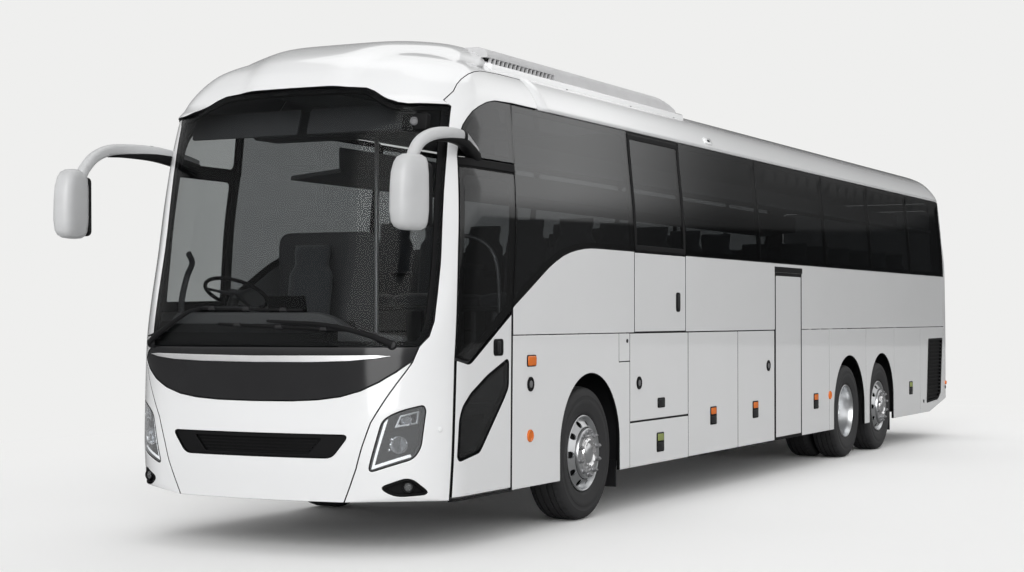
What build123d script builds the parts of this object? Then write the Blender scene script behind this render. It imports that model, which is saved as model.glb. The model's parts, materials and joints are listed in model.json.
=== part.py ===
from build123d import *
from math import asin, cos, radians, sin, sqrt
import os

os.makedirs("parts", exist_ok=True)

# A three-axle touring coach. +Z up, the front faces -Y, +X is the door side.
# The origin is on the ground, under the middle of the overall box.

# ---- Driving dimensions, in mm ----
body_length = 14610        # front centre to rear centre
body_width = 2550          # over the side panels
front_overhang = 2730      # front centre to front axle
drive_distance = 7170      # front axle to drive axle
tag_distance = 1350        # drive axle to tag axle
mirror_reach = 412         # mirror heads ahead of the front centre

skirt_z = 340              # lower edge of the side panels
belt_z = 1457              # seam between flaps and upper panels
waist_z = 2132             # lower edge of the side glass
window_top_z = 3140        # upper edge of the side glass
cant_width = 2394          # over the sides at the top of the glass
crown_z = 3530             # crown of the roof

wall = 45                  # thickness of panels with their frames
glass = 8                  # thickness of the glazing
seat_gap = 0.3             # clearance where one piece is set in another
door_gap = 12              # gap round doors and flaps
pane_gap = 10              # joint between two panes
glass_lap = 35             # how far a pane lies over its frame

tyre_radius = 522
tyre_width = 292
rim_radius = 298
twin_spacing = 330
wheel_face_x = 1245        # outer face of the outer tyres
kingpin_x = 960
spindle_radius = 45

floor_z = 1330             # top of the saloon floor
floor_plate = 40
cab_floor_z = 960          # top of the floor beside the driver
hold_z = 400               # top of the luggage hold floor
hold_plate = 30
beam_height = 120
beam_width = 90
beam_x = 430               # centre of each long beam

# ---- Places worked out from them ----
axle_y = -(body_length + mirror_reach) / 2 + mirror_reach + front_overhang
drive_y = axle_y + drive_distance
tag_y = drive_y + tag_distance
nose_y = axle_y - front_overhang
tail_y = nose_y + body_length
half_width = body_width / 2
cant_half = cant_width / 2
wheel_x = wheel_face_x - tyre_width / 2
twin_x = wheel_x - twin_spacing / 2
far = 2000                 # beyond any side


def along(distance):
    """The place on Y that lies this far behind the front axle."""
    return axle_y + distance


def placed(points):
    """Side outline points (behind the front axle, height) in the model's frame."""
    return [(along(y), z) for y, z in points]


# ---- The body's outer form: plan outlines at rising heights ----
# height, half width, nose set back, tail set in, nose radius, corner radius, tail radius, roof share
levels = [
    (skirt_z, half_width, 30, 10, 4000, 580, 160, 0.0),
    (700, half_width, 0, 0, 4000, 580, 160, 0.0),
    (1330, half_width, 16, 0, 4000, 580, 160, 0.0),
    (waist_z, half_width, 168, 40, 3700, 560, 160, 0.0),
    (3030, cant_half + 9, 340, 90, 3400, 520, 180, 0.0),
    (window_top_z, cant_half, 420, 110, 3400, 500, 190, 0.0),
    (3262, 1145, 515, 160, 3200, 480, 220, 0.3),
    (3400, 1020, 670, 270, 3000, 460, 260, 0.6),
    (3484, 800, 880, 420, 2800, 420, 260, 0.9),
    (crown_z, 420, 1250, 700, 2600, 300, 260, 1.0),
]
below_skirt = 60           # how far the hollow runs out below the skirt


def corner_centre(front, width, broad, corner):
    """Centre of the arc that joins the nose arc to the side, and its lean."""
    corner_x = width - corner
    corner_y = front + broad - sqrt((broad - corner) ** 2 - corner_x**2)
    return corner_x, corner_y, asin(corner_x / (broad - corner))


def plan_outline(level, inset):
    """Sketch of one level of the body, set in by the inset."""
    height, half, nose_back, tail_in, nose_r, corner_r, tail_r, roof_share = level
    width = half - inset
    front = nose_y + nose_back + inset
    rear = tail_y - tail_in - inset
    corner = corner_r - inset
    turn = tail_r - inset
    corner_x, corner_y, lean = corner_centre(front, width, nose_r - inset, corner)
    join = (corner_x + corner * sin(lean), corner_y - corner * cos(lean))
    mid_angle = (lean + radians(90)) / 2
    mid = (corner_x + corner * sin(mid_angle), corner_y - corner * cos(mid_angle))
    half_turn = turn * cos(radians(45))
    with BuildSketch(Plane.XY.offset(height - inset * roof_share)) as outline:
        with BuildLine():
            ThreePointArc((-join[0], join[1]), (0, front), join)
            ThreePointArc(join, mid, (width, corner_y))
            Line((width, corner_y), (width, rear - turn))
            ThreePointArc(
                (width, rear - turn),
                (width - turn + half_turn, rear - turn + half_turn),
                (width - turn, rear),
            )
            Line((width - turn, rear), (turn - width, rear))
            ThreePointArc(
                (turn - width, rear),
                (turn - width - half_turn, rear - turn + half_turn),
                (-width, rear - turn),
            )
            Line((-width, rear - turn), (-width, corner_y))
            ThreePointArc((-width, corner_y), (-mid[0], mid[1]), (-join[0], join[1]))
        make_face()
    return outline.sketch


def envelope(inset):
    """Solid inside the body's outer face, set in by the inset, open below when inset."""
    sketches = [plan_outline(level, inset) for level in levels]
    if inset > 0:
        low = (levels[0][0] - below_skirt,) + levels[0][1:]
        sketches = [plan_outline(low, inset)] + sketches
    with BuildPart() as body:
        loft([sketch.face() for sketch in sketches], ruled=True)
    return body.part


def nose_at(x, z):
    """The place on Y of the body's front face at this x and height."""
    for low, high in zip(levels, levels[1:]):
        if z <= high[0]:
            break
    share = (z - low[0]) / (high[0] - low[0])
    width, back, broad, corner = (
        low[i] + (high[i] - low[i]) * share for i in (1, 2, 4, 5)
    )
    front = nose_y + back
    corner_x, corner_y, lean = corner_centre(front, width, broad, corner)
    if abs(x) <= corner_x + corner * sin(lean):
        return front + broad - sqrt(broad**2 - x**2)
    return corner_y - sqrt(max(0, corner**2 - (abs(x) - corner_x) ** 2))


def side_block(points, sign=1, near=500, beyond=far):
    """Block with this outline on the side, from near to beyond the side panels."""
    with BuildPart() as block:
        with BuildSketch(Plane.YZ.offset(near)):
            with BuildLine():
                Polyline(*points, close=True)
            make_face()
        extrude(amount=beyond - near)
        if sign < 0:
            mirror(about=Plane.YZ, mode=Mode.REPLACE)
    return block.part


def end_block(points, start, depth):
    """Block with this outline seen from the front, starting at a place on Y."""
    with BuildPart() as block:
        with BuildSketch(Plane.XZ.offset(-start)):
            with BuildLine():
                Polyline(*points, close=True)
            make_face()
        extrude(amount=-depth)
    return block.part


def bar(start, end, radius):
    """Round bar between two points with a ball at its far end."""
    run = Vector(*end) - Vector(*start)
    with BuildPart() as rod:
        with BuildSketch(Plane(origin=start, z_dir=run)):
            Circle(radius)
        extrude(amount=run.length)
        with Locations(end):
            Sphere(radius)
    return rod.part


def inset_outline(points, gap):
    """The outline's points moved inward by the gap."""
    with BuildSketch() as sketch:
        with BuildLine():
            Polyline(*points, close=True)
        make_face()
        offset(amount=-gap, kind=Kind.INTERSECTION, mode=Mode.REPLACE)
    edges = sketch.sketch.face().outer_wire().order_edges()
    return [(edge.position_at(0).X, edge.position_at(0).Y) for edge in edges]


def save(part, name):
    """Label one finished sub-part and write it."""
    part.label = name
    export_step(part, f"parts/{name}.step")


def box(x0, x1, y0, y1, z0, z1):
    """Block between six planes."""
    with BuildPart() as block:
        with Locations(((x0 + x1) / 2, (y0 + y1) / 2, (z0 + z1) / 2)):
            Box(x1 - x0, y1 - y0, z1 - z0)
    return block.part


outer = envelope(0)
inner = envelope(wall)
glass_inner = envelope(glass)
recess_inner = envelope(glass + seat_gap)
rim_inner = envelope(wall + seat_gap)

with BuildPart() as shell:
    add(outer)
    add(inner, mode=Mode.SUBTRACT)
with BuildPart() as glass_layer:
    add(outer)
    add(glass_inner, mode=Mode.SUBTRACT)
with BuildPart() as recess_layer:
    add(outer)
    add(recess_inner, mode=Mode.SUBTRACT)

# ---- Seams of the side, as (behind the front axle, height) ----
door_sill_z = skirt_z + 5
door_top_z = 2640
door_front = [(-2226, door_sill_z), (-2180, 1300), (-2040, door_top_z)]
door_rear = [(-1345, door_sill_z), (-1322, 1700), (-1238, door_top_z)]
quarter_rear_y = -1206
tail_seam = 11600          # side panels end and the rear corner starts
cap_seam = -755            # front cap ends and the roof starts
rise_start = 10850         # the underside rises from here to the rear
rise_end = 11880
rise_z = 515

door_outline = placed(door_front + door_rear[::-1])
front_door_hole = door_outline
mid_front = 4530
mid_rear = 5400
mid_top_z = 2035
mid_door_hole = placed(
    [(mid_front, door_sill_z), (mid_front, mid_top_z), (mid_rear, mid_top_z), (mid_rear, door_sill_z)]
)
emergency_front = 909
emergency_rear = 2075
emergency_top_z = 3125
emergency_hole = placed(
    [
        (emergency_front, belt_z),
        (emergency_front, emergency_top_z),
        (emergency_rear, emergency_top_z),
        (emergency_rear, belt_z),
    ]
)
# luggage flaps: name, front, rear, lower edge, places of the hinges
flaps = [
    ("1", 812, 2131, 722, (860, 2103)),
    ("2", 2131, 3431, skirt_z, (2330, 3230)),
    ("3", 3431, 4500, skirt_z, (3600, 4330)),
]
# wheel arches: middle behind the front axle, radius, height of its centre
arches = [
    (35, 566, 580),
    (drive_distance - 10, 610, 540),
    (drive_distance + tag_distance - 5, 535, 615),
]
sweep = [(-1283, 1679), (-1001, 1819), (-708, 1966), (-465, 2057), (-214, 2107), (45, 2130)]
mullions = [2075, 4100, 6300, 8100, 9900, 11600]
glass_end = tail_seam


def arch_block(arch):
    """Wheel arch cut: a round top over straight sides, through both walls."""
    middle, radius, height = arch
    with BuildPart() as block:
        with BuildSketch(Plane.YZ.offset(-far)):
            with Locations((along(middle), height)):
                Circle(radius)
            with Locations((along(middle), height / 2)):
                Rectangle(2 * radius, height)
        extrude(amount=2 * far)
    return block.part


arch_cuts = [arch_block(arch) for arch in arches]


# ---- Hinges: barrels on one axis, two fixed and one moving ----
barrel_radius = 5
barrel_half = 8            # half length of the middle barrel
hinge_out = 2              # how far the axis lies outside the panel
leaf = 9                   # leaf thickness, inward from the axis


def hinge(place, fixed_dir, moving):
    """One hinge with its axis along local Z at a location; leaves run along local Y."""
    reach = door_gap / 2 + 6
    spans = [(-barrel_half, barrel_half)]
    if not moving:
        spans = [
            (-3 * barrel_half, -barrel_half - seat_gap),
            (barrel_half + seat_gap, 3 * barrel_half),
        ]
    side = fixed_dir if not moving else -fixed_dir
    with BuildPart() as knuckles:
        for low, high in spans:
            with Locations((0, 0, (low + high) / 2)):
                Cylinder(barrel_radius, high - low)
            with Locations((-leaf / 2, side * reach / 2, (low + high) / 2)):
                Box(leaf, reach, high - low)
    return knuckles.part.moved(place)


# ---- Side walls with their doors, flaps and glass ----
fixed_side = placed(
    [
        (quarter_rear_y, window_top_z),
        (glass_end, window_top_z),
        (tail_seam, rise_z - (rise_end - tail_seam) * (rise_z - skirt_z) / (rise_end - rise_start)),
        (rise_start, skirt_z),
        (door_rear[0][0], skirt_z),
        (door_rear[1][0], door_rear[1][1]),
        (door_rear[2][0], door_rear[2][1]),
    ]
)
# panes of the side glass, each an outline on the side
pane_top_z = window_top_z - 4
first_pane = placed(
    [(quarter_rear_y + 6, pane_top_z)]
    + [(emergency_front - 6, pane_top_z), (emergency_front - 6, waist_z)]
    + sweep[::-1]
)


def upright_pane(front, rear):
    """Outline of a pane between two mullions."""
    near = front + pane_gap / 2
    end = rear - pane_gap / 2
    return placed([(near, waist_z), (near, pane_top_z), (end, pane_top_z), (end, waist_z)])


panes = [first_pane]
panes += [upright_pane(front, rear) for front, rear in zip(mullions, mullions[1:])]
right_pane = upright_pane(emergency_front, emergency_rear)


def flap_outline(flap):
    """Outline of a flap, set in from its opening."""
    name, front, rear, low, hinge_ys = flap
    edge = door_gap / 2
    return placed(
        [
            (front + edge, low),
            (front + edge, belt_z - door_gap),
            (rear - edge, belt_z - door_gap),
            (rear - edge, low),
        ]
    )


def flap_hinges(flap, sign, moving):
    """The hinges along a flap's upper edge."""
    name, front, rear, low, hinge_ys = flap
    x = sign * (half_width + hinge_out)
    z = belt_z - door_gap / 2
    parts = []
    for place in hinge_ys:
        plane = Plane(origin=(x, along(place), z), x_dir=(sign, 0, 0), z_dir=(0, -sign, 0))
        parts.append(hinge(plane.location, 1, moving))
    return parts


def flap_hole(flap):
    """Outline of a flap's opening in the side wall, open below where the flap is full height."""
    name, front, rear, low, hinge_ys = flap
    bottom = 0 if low == skirt_z else low - door_gap
    return placed([(front, bottom), (front, belt_z), (rear, belt_z), (rear, bottom)])


side_shell = shell.part & box(half_width - 300, far, along(door_front[0][0]), tail_y, 0, window_top_z)
side_glazing = glass_layer.part & box(half_width - 300, far, along(-2300), tail_y, 0, window_top_z)
side_recess = recess_layer.part & box(half_width - 300, far, along(-2300), tail_y, 0, window_top_z)


def pane_seat(pane):
    """Cuts that let a pane into a side panel: its recess and the daylight inside its lap."""
    return [side_recess & side_block(pane), side_block(inset_outline(pane, glass_lap))]


pane_cuts = [cut for pane in panes for cut in pane_seat(pane)]
driver_pane = placed([(-2130, 1700), (-2000, 2600), (-1262, 2600), (-1335, 1640), (-1345, 1560)])
driver_side = fixed_side[:4] + placed(
    [(door_front[0][0], skirt_z)] + door_front[1:] + [door_rear[2]]
)
right_cuts = pane_seat(driver_pane) + pane_seat(right_pane)
emergency_hinge_zs = (1600, 2050)
emergency_axis = (half_width + hinge_out, along(emergency_front) + door_gap / 2)


def emergency_hinges(moving):
    """The emergency door's hinges, at its front edge."""
    planes = [Plane(origin=(*emergency_axis, z), x_dir=(1, 0, 0)) for z in emergency_hinge_zs]
    return [hinge(plane.location, -1, moving) for plane in planes]


for sign, hand in ((1, "left"), (-1, "right")):
    cuts = arch_cuts + [side_block(flap_hole(flap)) for flap in flaps] + pane_cuts
    if sign > 0:
        open_sill = [(mid_front, 0), (mid_front, 500), (mid_rear, 500), (mid_rear, 0)]
        cuts += [side_block(hole) for hole in (mid_door_hole, emergency_hole, placed(open_sill))]
    else:
        cuts += right_cuts
    with BuildPart() as side_wall:
        add(side_shell)
        add(side_block(fixed_side if sign > 0 else driver_side), mode=Mode.INTERSECT)
        add(cuts, mode=Mode.SUBTRACT)
        if sign < 0:
            mirror(about=Plane.YZ, mode=Mode.REPLACE)
        for flap in flaps:
            add(flap_hinges(flap, sign, False))
        if sign > 0:
            add(emergency_hinges(False))
    save(side_wall.part, f"side_wall_{hand}")

    with BuildPart() as side_glass:
        add(side_glazing)
        shown = panes if sign > 0 else panes + [right_pane]
        add([side_block(inset_outline(pane, seat_gap)) for pane in shown], mode=Mode.INTERSECT)
        if sign < 0:
            mirror(about=Plane.YZ, mode=Mode.REPLACE)
    save(side_glass.part, f"side_glass_{hand}")

    for flap in flaps:
        with BuildPart() as luggage_flap:
            add(side_shell)
            add(side_block(flap_outline(flap)), mode=Mode.INTERSECT)
            if sign < 0:
                mirror(about=Plane.YZ, mode=Mode.REPLACE)
            add(flap_hinges(flap, sign, True))
        save(luggage_flap.part, f"luggage_flap_{hand}_{flap[0]}")


def saved_union(name, parts):
    """One node made of these solids."""
    with BuildPart() as node:
        for part in parts:
            add(part)
    save(node.part, name)


# ---- Emergency door ----
emergency_outline = placed(
    [
        (emergency_front + door_gap, belt_z + door_gap),
        (emergency_front + door_gap, emergency_top_z - door_gap),
        (emergency_rear - door_gap, emergency_top_z - door_gap),
        (emergency_rear - door_gap, belt_z + door_gap),
    ]
)
emergency_pane = placed(
    [
        (emergency_front + door_gap + 5, waist_z),
        (emergency_front + door_gap + 5, emergency_top_z - door_gap - 5),
        (emergency_rear - door_gap - 5, emergency_top_z - door_gap - 5),
        (emergency_rear - door_gap - 5, waist_z),
    ]
)
with BuildPart() as emergency_door:
    add(side_shell)
    add(side_block(emergency_outline), mode=Mode.INTERSECT)
    add(side_recess & side_block(emergency_pane), mode=Mode.SUBTRACT)
    add(side_block(inset_outline(emergency_pane, glass_lap)), mode=Mode.SUBTRACT)
    add(emergency_hinges(True))
save(emergency_door.part, "emergency_door")
with BuildPart() as emergency_door_glass:
    add(side_glazing & side_block(inset_outline(emergency_pane, seat_gap)))
save(emergency_door_glass.part, "emergency_door_glass")

# ---- Front door and middle door: each swings out on two arms from a post ----
front_door_outline = inset_outline(front_door_hole, door_gap)
front_pane = placed(
    [(-2120, 1790), (-1985, 2560), (-1262, 2560), (-1335, 1640), (-2105, 1310)]
)
low_pane = placed(
    [(-1722, 1120), (-1412, 1270), (-1412, 1095), (-1472, 1026), (-1814, 695), (-2130, 640), (-2085, 960)]
)
post_radius = 20
arm_radius = 16
pin_radius = 12
lug_thick = 20
stair_floor_z = 400        # floor of both stairwells
post_foot = stair_floor_z + seat_gap
front_post = (1120, along(-2075))
front_pin = (1120, along(-1530))
mid_post = (1120, along(5270))
mid_pin = (1120, along(4790))


def door_arm(post, pin, arm_zs, low, high):
    """Upright post with an arm at each height that ends in an eye for the door's pin."""
    with BuildPart() as arm:
        with Locations((*post, (low + high) / 2)):
            Cylinder(post_radius, high - low)
        for z in arm_zs:
            middle = (post[1] + pin[1]) / 2
            with Locations((post[0], middle, z)):
                Box(2 * arm_radius, abs(pin[1] - post[1]), 2 * arm_radius)
            with Locations((*pin, z)):
                Cylinder(arm_radius + 8, 2 * arm_radius)
        for z in arm_zs:
            with Locations((*pin, z)):
                Cylinder(pin_radius + seat_gap, 2 * arm_radius, mode=Mode.SUBTRACT)
    return arm.part


def door_lugs(pin, arm_zs):
    """Lugs above and below each arm's eye, with the pin through it, reaching to the door."""
    with BuildPart() as lugs:
        for z in arm_zs:
            for side in (-1, 1):
                middle = z + side * (arm_radius + seat_gap + lug_thick / 2)
                with Locations((*pin, middle)):
                    Cylinder(arm_radius + 8, lug_thick)
                reach = half_width - wall / 2 - pin[0]
                with Locations((pin[0] + reach / 2, pin[1], middle)):
                    Box(reach, 2 * arm_radius, lug_thick)
            with Locations((*pin, z)):
                Cylinder(pin_radius, 2 * (arm_radius + seat_gap + lug_thick / 2))
    return lugs.part


front_arm_zs = (880, 1950)
mid_arm_zs = (760, 1780)
with BuildPart() as front_door:
    add(side_shell)
    add(side_block(front_door_outline), mode=Mode.INTERSECT)
    for pane in (front_pane, low_pane):
        add(side_recess & side_block(pane), mode=Mode.SUBTRACT)
        add(side_block(inset_outline(pane, glass_lap)), mode=Mode.SUBTRACT)
    with Locations((half_width - wall - 12, front_pin[1], (front_arm_zs[0] + front_arm_zs[1]) / 2)):
        Box(30, 60, front_arm_zs[1] - front_arm_zs[0] + 300)
    add(door_lugs(front_pin, front_arm_zs))
save(front_door.part, "front_door")
with BuildPart() as front_door_glass:
    for pane in (front_pane, low_pane):
        add(side_glazing & side_block(inset_outline(pane, seat_gap)))
save(front_door_glass.part, "front_door_glass")
save(door_arm(front_post, front_pin, front_arm_zs, post_foot, 2440), "front_door_arm")

with BuildPart() as mid_door:
    add(side_shell)
    add(side_block(inset_outline(mid_door_hole, door_gap)), mode=Mode.INTERSECT)
    add(door_lugs(mid_pin, mid_arm_zs))
save(mid_door.part, "mid_door")
save(door_arm(mid_post, mid_pin, mid_arm_zs, post_foot, 1980), "mid_door_arm")

# ---- Front of the body ----
mask_top_z = 1300          # top of the painted front panels
apron_top_z = 1400         # lower edge of the windscreen
# apron outline seen from the front: half width, height
apron_edge = [
    (0, 1020), (430, 1028), (640, 1052), (860, 1125), (1000, 1205), (1105, mask_top_z), (1135, apron_top_z)
]
screen_edge = [
    (1135, apron_top_z), (1185, 1480), (1192, 1600), (1192, 1900), (1183, 2200),
    (1165, 2700), (1146, 3034), (915, 3030), (794, 3067), (592, 3178), (0, 3192),
]


def both_sides(half_outline):
    """Closed outline from its half on +X, mirrored across the middle."""
    mirrored = [(-x, z) for x, z in half_outline[::-1] if x > 0]
    return [point for point in half_outline] + mirrored


apron_outline = both_sides(apron_edge)
screen_outline = both_sides(screen_edge)
front_start = nose_y - 100
screen_depth = 1120
front_region = placed(
    [
        (-3000, skirt_z - 50),
        (door_front[0][0], skirt_z - 50),
        (door_front[0][0], door_front[0][1]),
        (door_front[1][0], door_front[1][1]),
        (-3000, 1300),
    ]
)
lamp_edge = [(952, 917), (1158, 995), (1166, 961), (1146, 717), (1112, 650), (856, 557)]
fog_edge = [(926, 458), (1094, 515), (1180, 404), (1014, 398)]
intake_outline = [(-548, 650), (548, 650), (705, 792), (-705, 792)]


def signed(points, sign):
    """The outline on one side."""
    return [(sign * x, z) for x, z in points]


mask_region = side_block(front_region, 1, -far)
upper_region = side_block(
    placed(
        [
            (-3000, 1300),
            (door_front[1][0], 1300),
            (door_front[2][0], door_top_z),
            (door_rear[2][0], door_top_z),
            (quarter_rear_y, window_top_z),
            (cap_seam, window_top_z),
            (cap_seam, 3700),
            (-3000, 3700),
        ]
    ),
    1,
    -far,
)
with BuildPart() as front_mask:
    add(shell.part)
    add(mask_region, mode=Mode.INTERSECT)
    add(end_block(apron_outline, front_start, screen_depth), mode=Mode.SUBTRACT)
    add(end_block(intake_outline, front_start, 500), mode=Mode.SUBTRACT)
    for sign in (1, -1):
        for lamp in (lamp_edge, fog_edge):
            add(end_block(signed(lamp, sign), front_start, 700), mode=Mode.SUBTRACT)
save(front_mask.part, "front_mask")

with BuildPart() as apron_panel:
    add(shell.part & end_block(inset_outline(apron_outline, seat_gap), front_start, screen_depth))
    low_intake = shell.part & end_block(inset_outline(intake_outline, seat_gap), front_start, 500)
    add(low_intake - glass_layer.part)
save(apron_panel.part, "apron_panel")

with BuildPart() as headlamps:
    for sign in (1, -1):
        for lamp in (lamp_edge, fog_edge):
            add(shell.part & end_block(inset_outline(signed(lamp, sign), seat_gap), front_start, 700))
save(headlamps.part, "headlamps")

quarter_pane = placed(
    [(-1985, 2700), (-1975, 2863), (-1893, 2971), (-1727, 3067), (-1467, 3125), (-1216, 3134), (-1244, 2700)]
)
dome_end = -1150
dome_side = placed(
    [
        (-2330, 3150), (-2270, 3210), (-2150, 3350), (-1960, 3478), (-1700, 3572),
        (-1400, 3628), (-1180, 3645), (dome_end, 3640), (dome_end, 3150),
    ]
)
dome_front = both_sides(
    [
        (0, 3645), (420, 3640), (640, 3615), (800, 3570), (900, 3510),
        (960, 3440), (985, 3400), (985, 3150), (0, 3150),
    ]
)
dome_half = 1010           # plan outline of the dome: a half ellipse in front of straight sides
dome_run = 1150
dome_start = -2300
with BuildPart() as dome:
    add(side_block(dome_side, 1, -far))
    add(end_block(dome_front, front_start, 2000), mode=Mode.INTERSECT)
    with BuildSketch(Plane.XY.offset(3100)):
        with Locations((0, along(dome_start + dome_run))):
            Ellipse(dome_half, dome_run)
        with Locations((0, along(dome_start + 2 * dome_run))):
            Rectangle(2 * dome_half, 2 * dome_run)
    extrude(amount=700, mode=Mode.INTERSECT)
with BuildPart() as front_cap:
    add(shell.part)
    add(upper_region, mode=Mode.INTERSECT)
    add(dome.part - inner)
    add(recess_layer.part & end_block(screen_outline, front_start, screen_depth), mode=Mode.SUBTRACT)
    add(end_block(inset_outline(screen_outline, glass_lap), front_start, screen_depth), mode=Mode.SUBTRACT)
    add(end_block(apron_outline, front_start, screen_depth), mode=Mode.SUBTRACT)
    for sign in (1, -1):
        add(recess_layer.part & side_block(quarter_pane, sign), mode=Mode.SUBTRACT)
        add(side_block(inset_outline(quarter_pane, glass_lap), sign), mode=Mode.SUBTRACT)
save(front_cap.part, "front_cap")

with BuildPart() as windscreen:
    add(glass_layer.part)
    add(end_block(inset_outline(screen_outline, seat_gap), front_start, screen_depth), mode=Mode.INTERSECT)
save(windscreen.part, "windscreen")
with BuildPart() as quarter_glass:
    for sign in (1, -1):
        add(glass_layer.part & side_block(inset_outline(quarter_pane, seat_gap), sign))
    add(glass_layer.part & side_block(inset_outline(driver_pane, seat_gap), -1))
save(quarter_glass.part, "quarter_glass")

# ---- Roof and rear ----
with BuildPart() as roof:
    add(shell.part)
    add(box(-far, far, along(cap_seam), tail_y + 100, window_top_z, 4000), mode=Mode.INTERSECT)
save(roof.part, "roof")

tail_low_z = fixed_side[2][1]
lid_half, lid_low, lid_high = 920, 560, 1420
lid_hinge_xs = (-600, 600)
rear_pane = [(-1060, 2160), (1060, 2160), (1040, 3040), (-1040, 3040)]
tail_lamp = [(1030, 760), (1165, 760), (1165, 1560), (1030, 1560)]
lid_hole = [(-lid_half, lid_low), (lid_half, lid_low), (lid_half, lid_high), (-lid_half, lid_high)]
rear_start = tail_y - 500
rear_depth = 700


def lid_hinges(moving):
    """The engine lid's hinges, along its upper edge."""
    place = (tail_y + hinge_out, lid_high - door_gap / 2)
    planes = [Plane(origin=(x, *place), x_dir=(0, 1, 0), z_dir=(1, 0, 0)) for x in lid_hinge_xs]
    return [hinge(plane.location, 1, moving) for plane in planes]


with BuildPart() as rear_wall:
    add(shell.part)
    add(box(-far, far, along(tail_seam), tail_y + 100, tail_low_z, window_top_z), mode=Mode.INTERSECT)
    add(end_block(lid_hole, rear_start, rear_depth), mode=Mode.SUBTRACT)
    add(recess_layer.part & end_block(rear_pane, rear_start, rear_depth), mode=Mode.SUBTRACT)
    add(end_block(inset_outline(rear_pane, glass_lap), rear_start, rear_depth), mode=Mode.SUBTRACT)
    for sign in (1, -1):
        add(end_block(signed(tail_lamp, sign), rear_start, rear_depth), mode=Mode.SUBTRACT)
    add(lid_hinges(False))
save(rear_wall.part, "rear_wall")
with BuildPart() as engine_lid:
    add(shell.part)
    add(end_block(inset_outline(lid_hole, door_gap), rear_start, rear_depth), mode=Mode.INTERSECT)
    add(lid_hinges(True))
save(engine_lid.part, "engine_lid")
with BuildPart() as rear_glass:
    add(glass_layer.part)
    add(end_block(inset_outline(rear_pane, seat_gap), rear_start, rear_depth), mode=Mode.INTERSECT)
save(rear_glass.part, "rear_glass")
with BuildPart() as tail_lamps:
    for sign in (1, -1):
        add(shell.part & end_block(inset_outline(signed(tail_lamp, sign), seat_gap), rear_start, rear_depth))
save(tail_lamps.part, "tail_lamps")

# ---- Roof pod behind the dome ----
pod_front = dome_end + 1
pod_back = 2700
pod_edge = [(0, 3592), (880, 3590), (960, 3575), (1000, 3540), (1015, 3440), (1015, 3300), (0, 3300)]
pod_seat = envelope(-seat_gap)
with BuildPart() as roof_pod:
    add(end_block(both_sides(pod_edge), along(pod_front), pod_back - pod_front))
    add(pod_seat, mode=Mode.SUBTRACT)
save(roof_pod.part, "roof_pod")

# ---- Floors and frame ----
inside_x = half_width - wall - seat_gap
floor_low = floor_z - floor_plate
beam_low = floor_low - beam_height
saloon_front = -820
floor_end = 11560
stair_x = 500              # stairwells reach in to here
front_stair = (-2150, -1300)
mid_stair = (mid_front + 40, mid_rear - 30)
housing_plate = 15
front_housing = (-640, 700)
rear_housing = (drive_distance - 690, drive_distance + tag_distance + 620)
housing_top = 1215
step_plate = 20


def floor_box(x0, x1, front, rear, low, high):
    """Block with its Y places given behind the front axle."""
    return box(x0, x1, along(front), along(rear), low, high)


stair_edge = 1205          # outer edge of the stairs
cab_floor_low = cab_floor_z - floor_plate
stair_low = stair_floor_z - step_plate
plate_x = stair_x - step_plate      # the stairwells' inner plates stand here
tread_x = stair_x + seat_gap
riser_y = saloon_front - step_plate
well_back = front_stair[1] - step_plate - 10
middle_front, middle_rear = mid_stair
cab_front = -2300


def saved_boxes(name, boxes, *more):
    """One node of separate plates and bars, so that each keeps its own simple shape."""
    with BuildPart() as node:
        for sizes in boxes:
            add(floor_box(*sizes))
        for part in more:
            add(part)
    save(node.part, name)


front_steps = ((330, 600), (200, 790))      # reach of a tread, height of its top
middle_steps = ((600, 0.25), (400, 0.5), (200, 0.75))   # reach, share of the rise
floor_plates = [
    (-inside_x, inside_x, saloon_front, middle_front - seat_gap, floor_low, floor_z),
    (-inside_x, stair_x, middle_front, middle_rear, floor_low, floor_z),
    (-inside_x, inside_x, middle_rear + seat_gap, floor_end, floor_low, floor_z),
    # riser, cab floor and the floor behind the front stairs
    (-inside_x, inside_x, riser_y, saloon_front - seat_gap, cab_floor_low, floor_z),
    (-1150, plate_x - seat_gap, cab_front, riser_y - seat_gap, cab_floor_low, cab_floor_z),
    (plate_x, 1060, well_back + step_plate + seat_gap, riser_y - seat_gap, cab_floor_low, cab_floor_z),
    # front stairwell: floor, inner plate, back plate
    (tread_x, stair_edge, front_stair[0], well_back - seat_gap, stair_low, stair_floor_z),
    (plate_x, stair_x, front_stair[0], well_back - seat_gap, stair_low, cab_floor_z),
    (plate_x, stair_edge, well_back, well_back + step_plate, stair_low, cab_floor_z),
    # middle stairwell: floor, inner plate, end plates
    (tread_x, stair_edge, middle_front, middle_rear, stair_low, stair_floor_z),
    (plate_x, stair_x, middle_front, middle_rear, stair_low, floor_low - seat_gap),
]
for edge in (middle_front - seat_gap - step_plate, middle_rear + seat_gap):
    floor_plates.append((plate_x, stair_edge, edge, edge + step_plate, stair_low, floor_low - seat_gap))
for reach, top in front_steps:
    floor_plates.append((tread_x, stair_x + reach, -1980, well_back - seat_gap, top - step_plate, top))
for reach, share in middle_steps:
    top = stair_floor_z + (floor_z - stair_floor_z) * share
    floor_plates.append(
        (tread_x, stair_x + reach, middle_front + 20, middle_rear - 250, top - step_plate, top)
    )
saved_boxes("saloon_floor", floor_plates)

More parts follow.
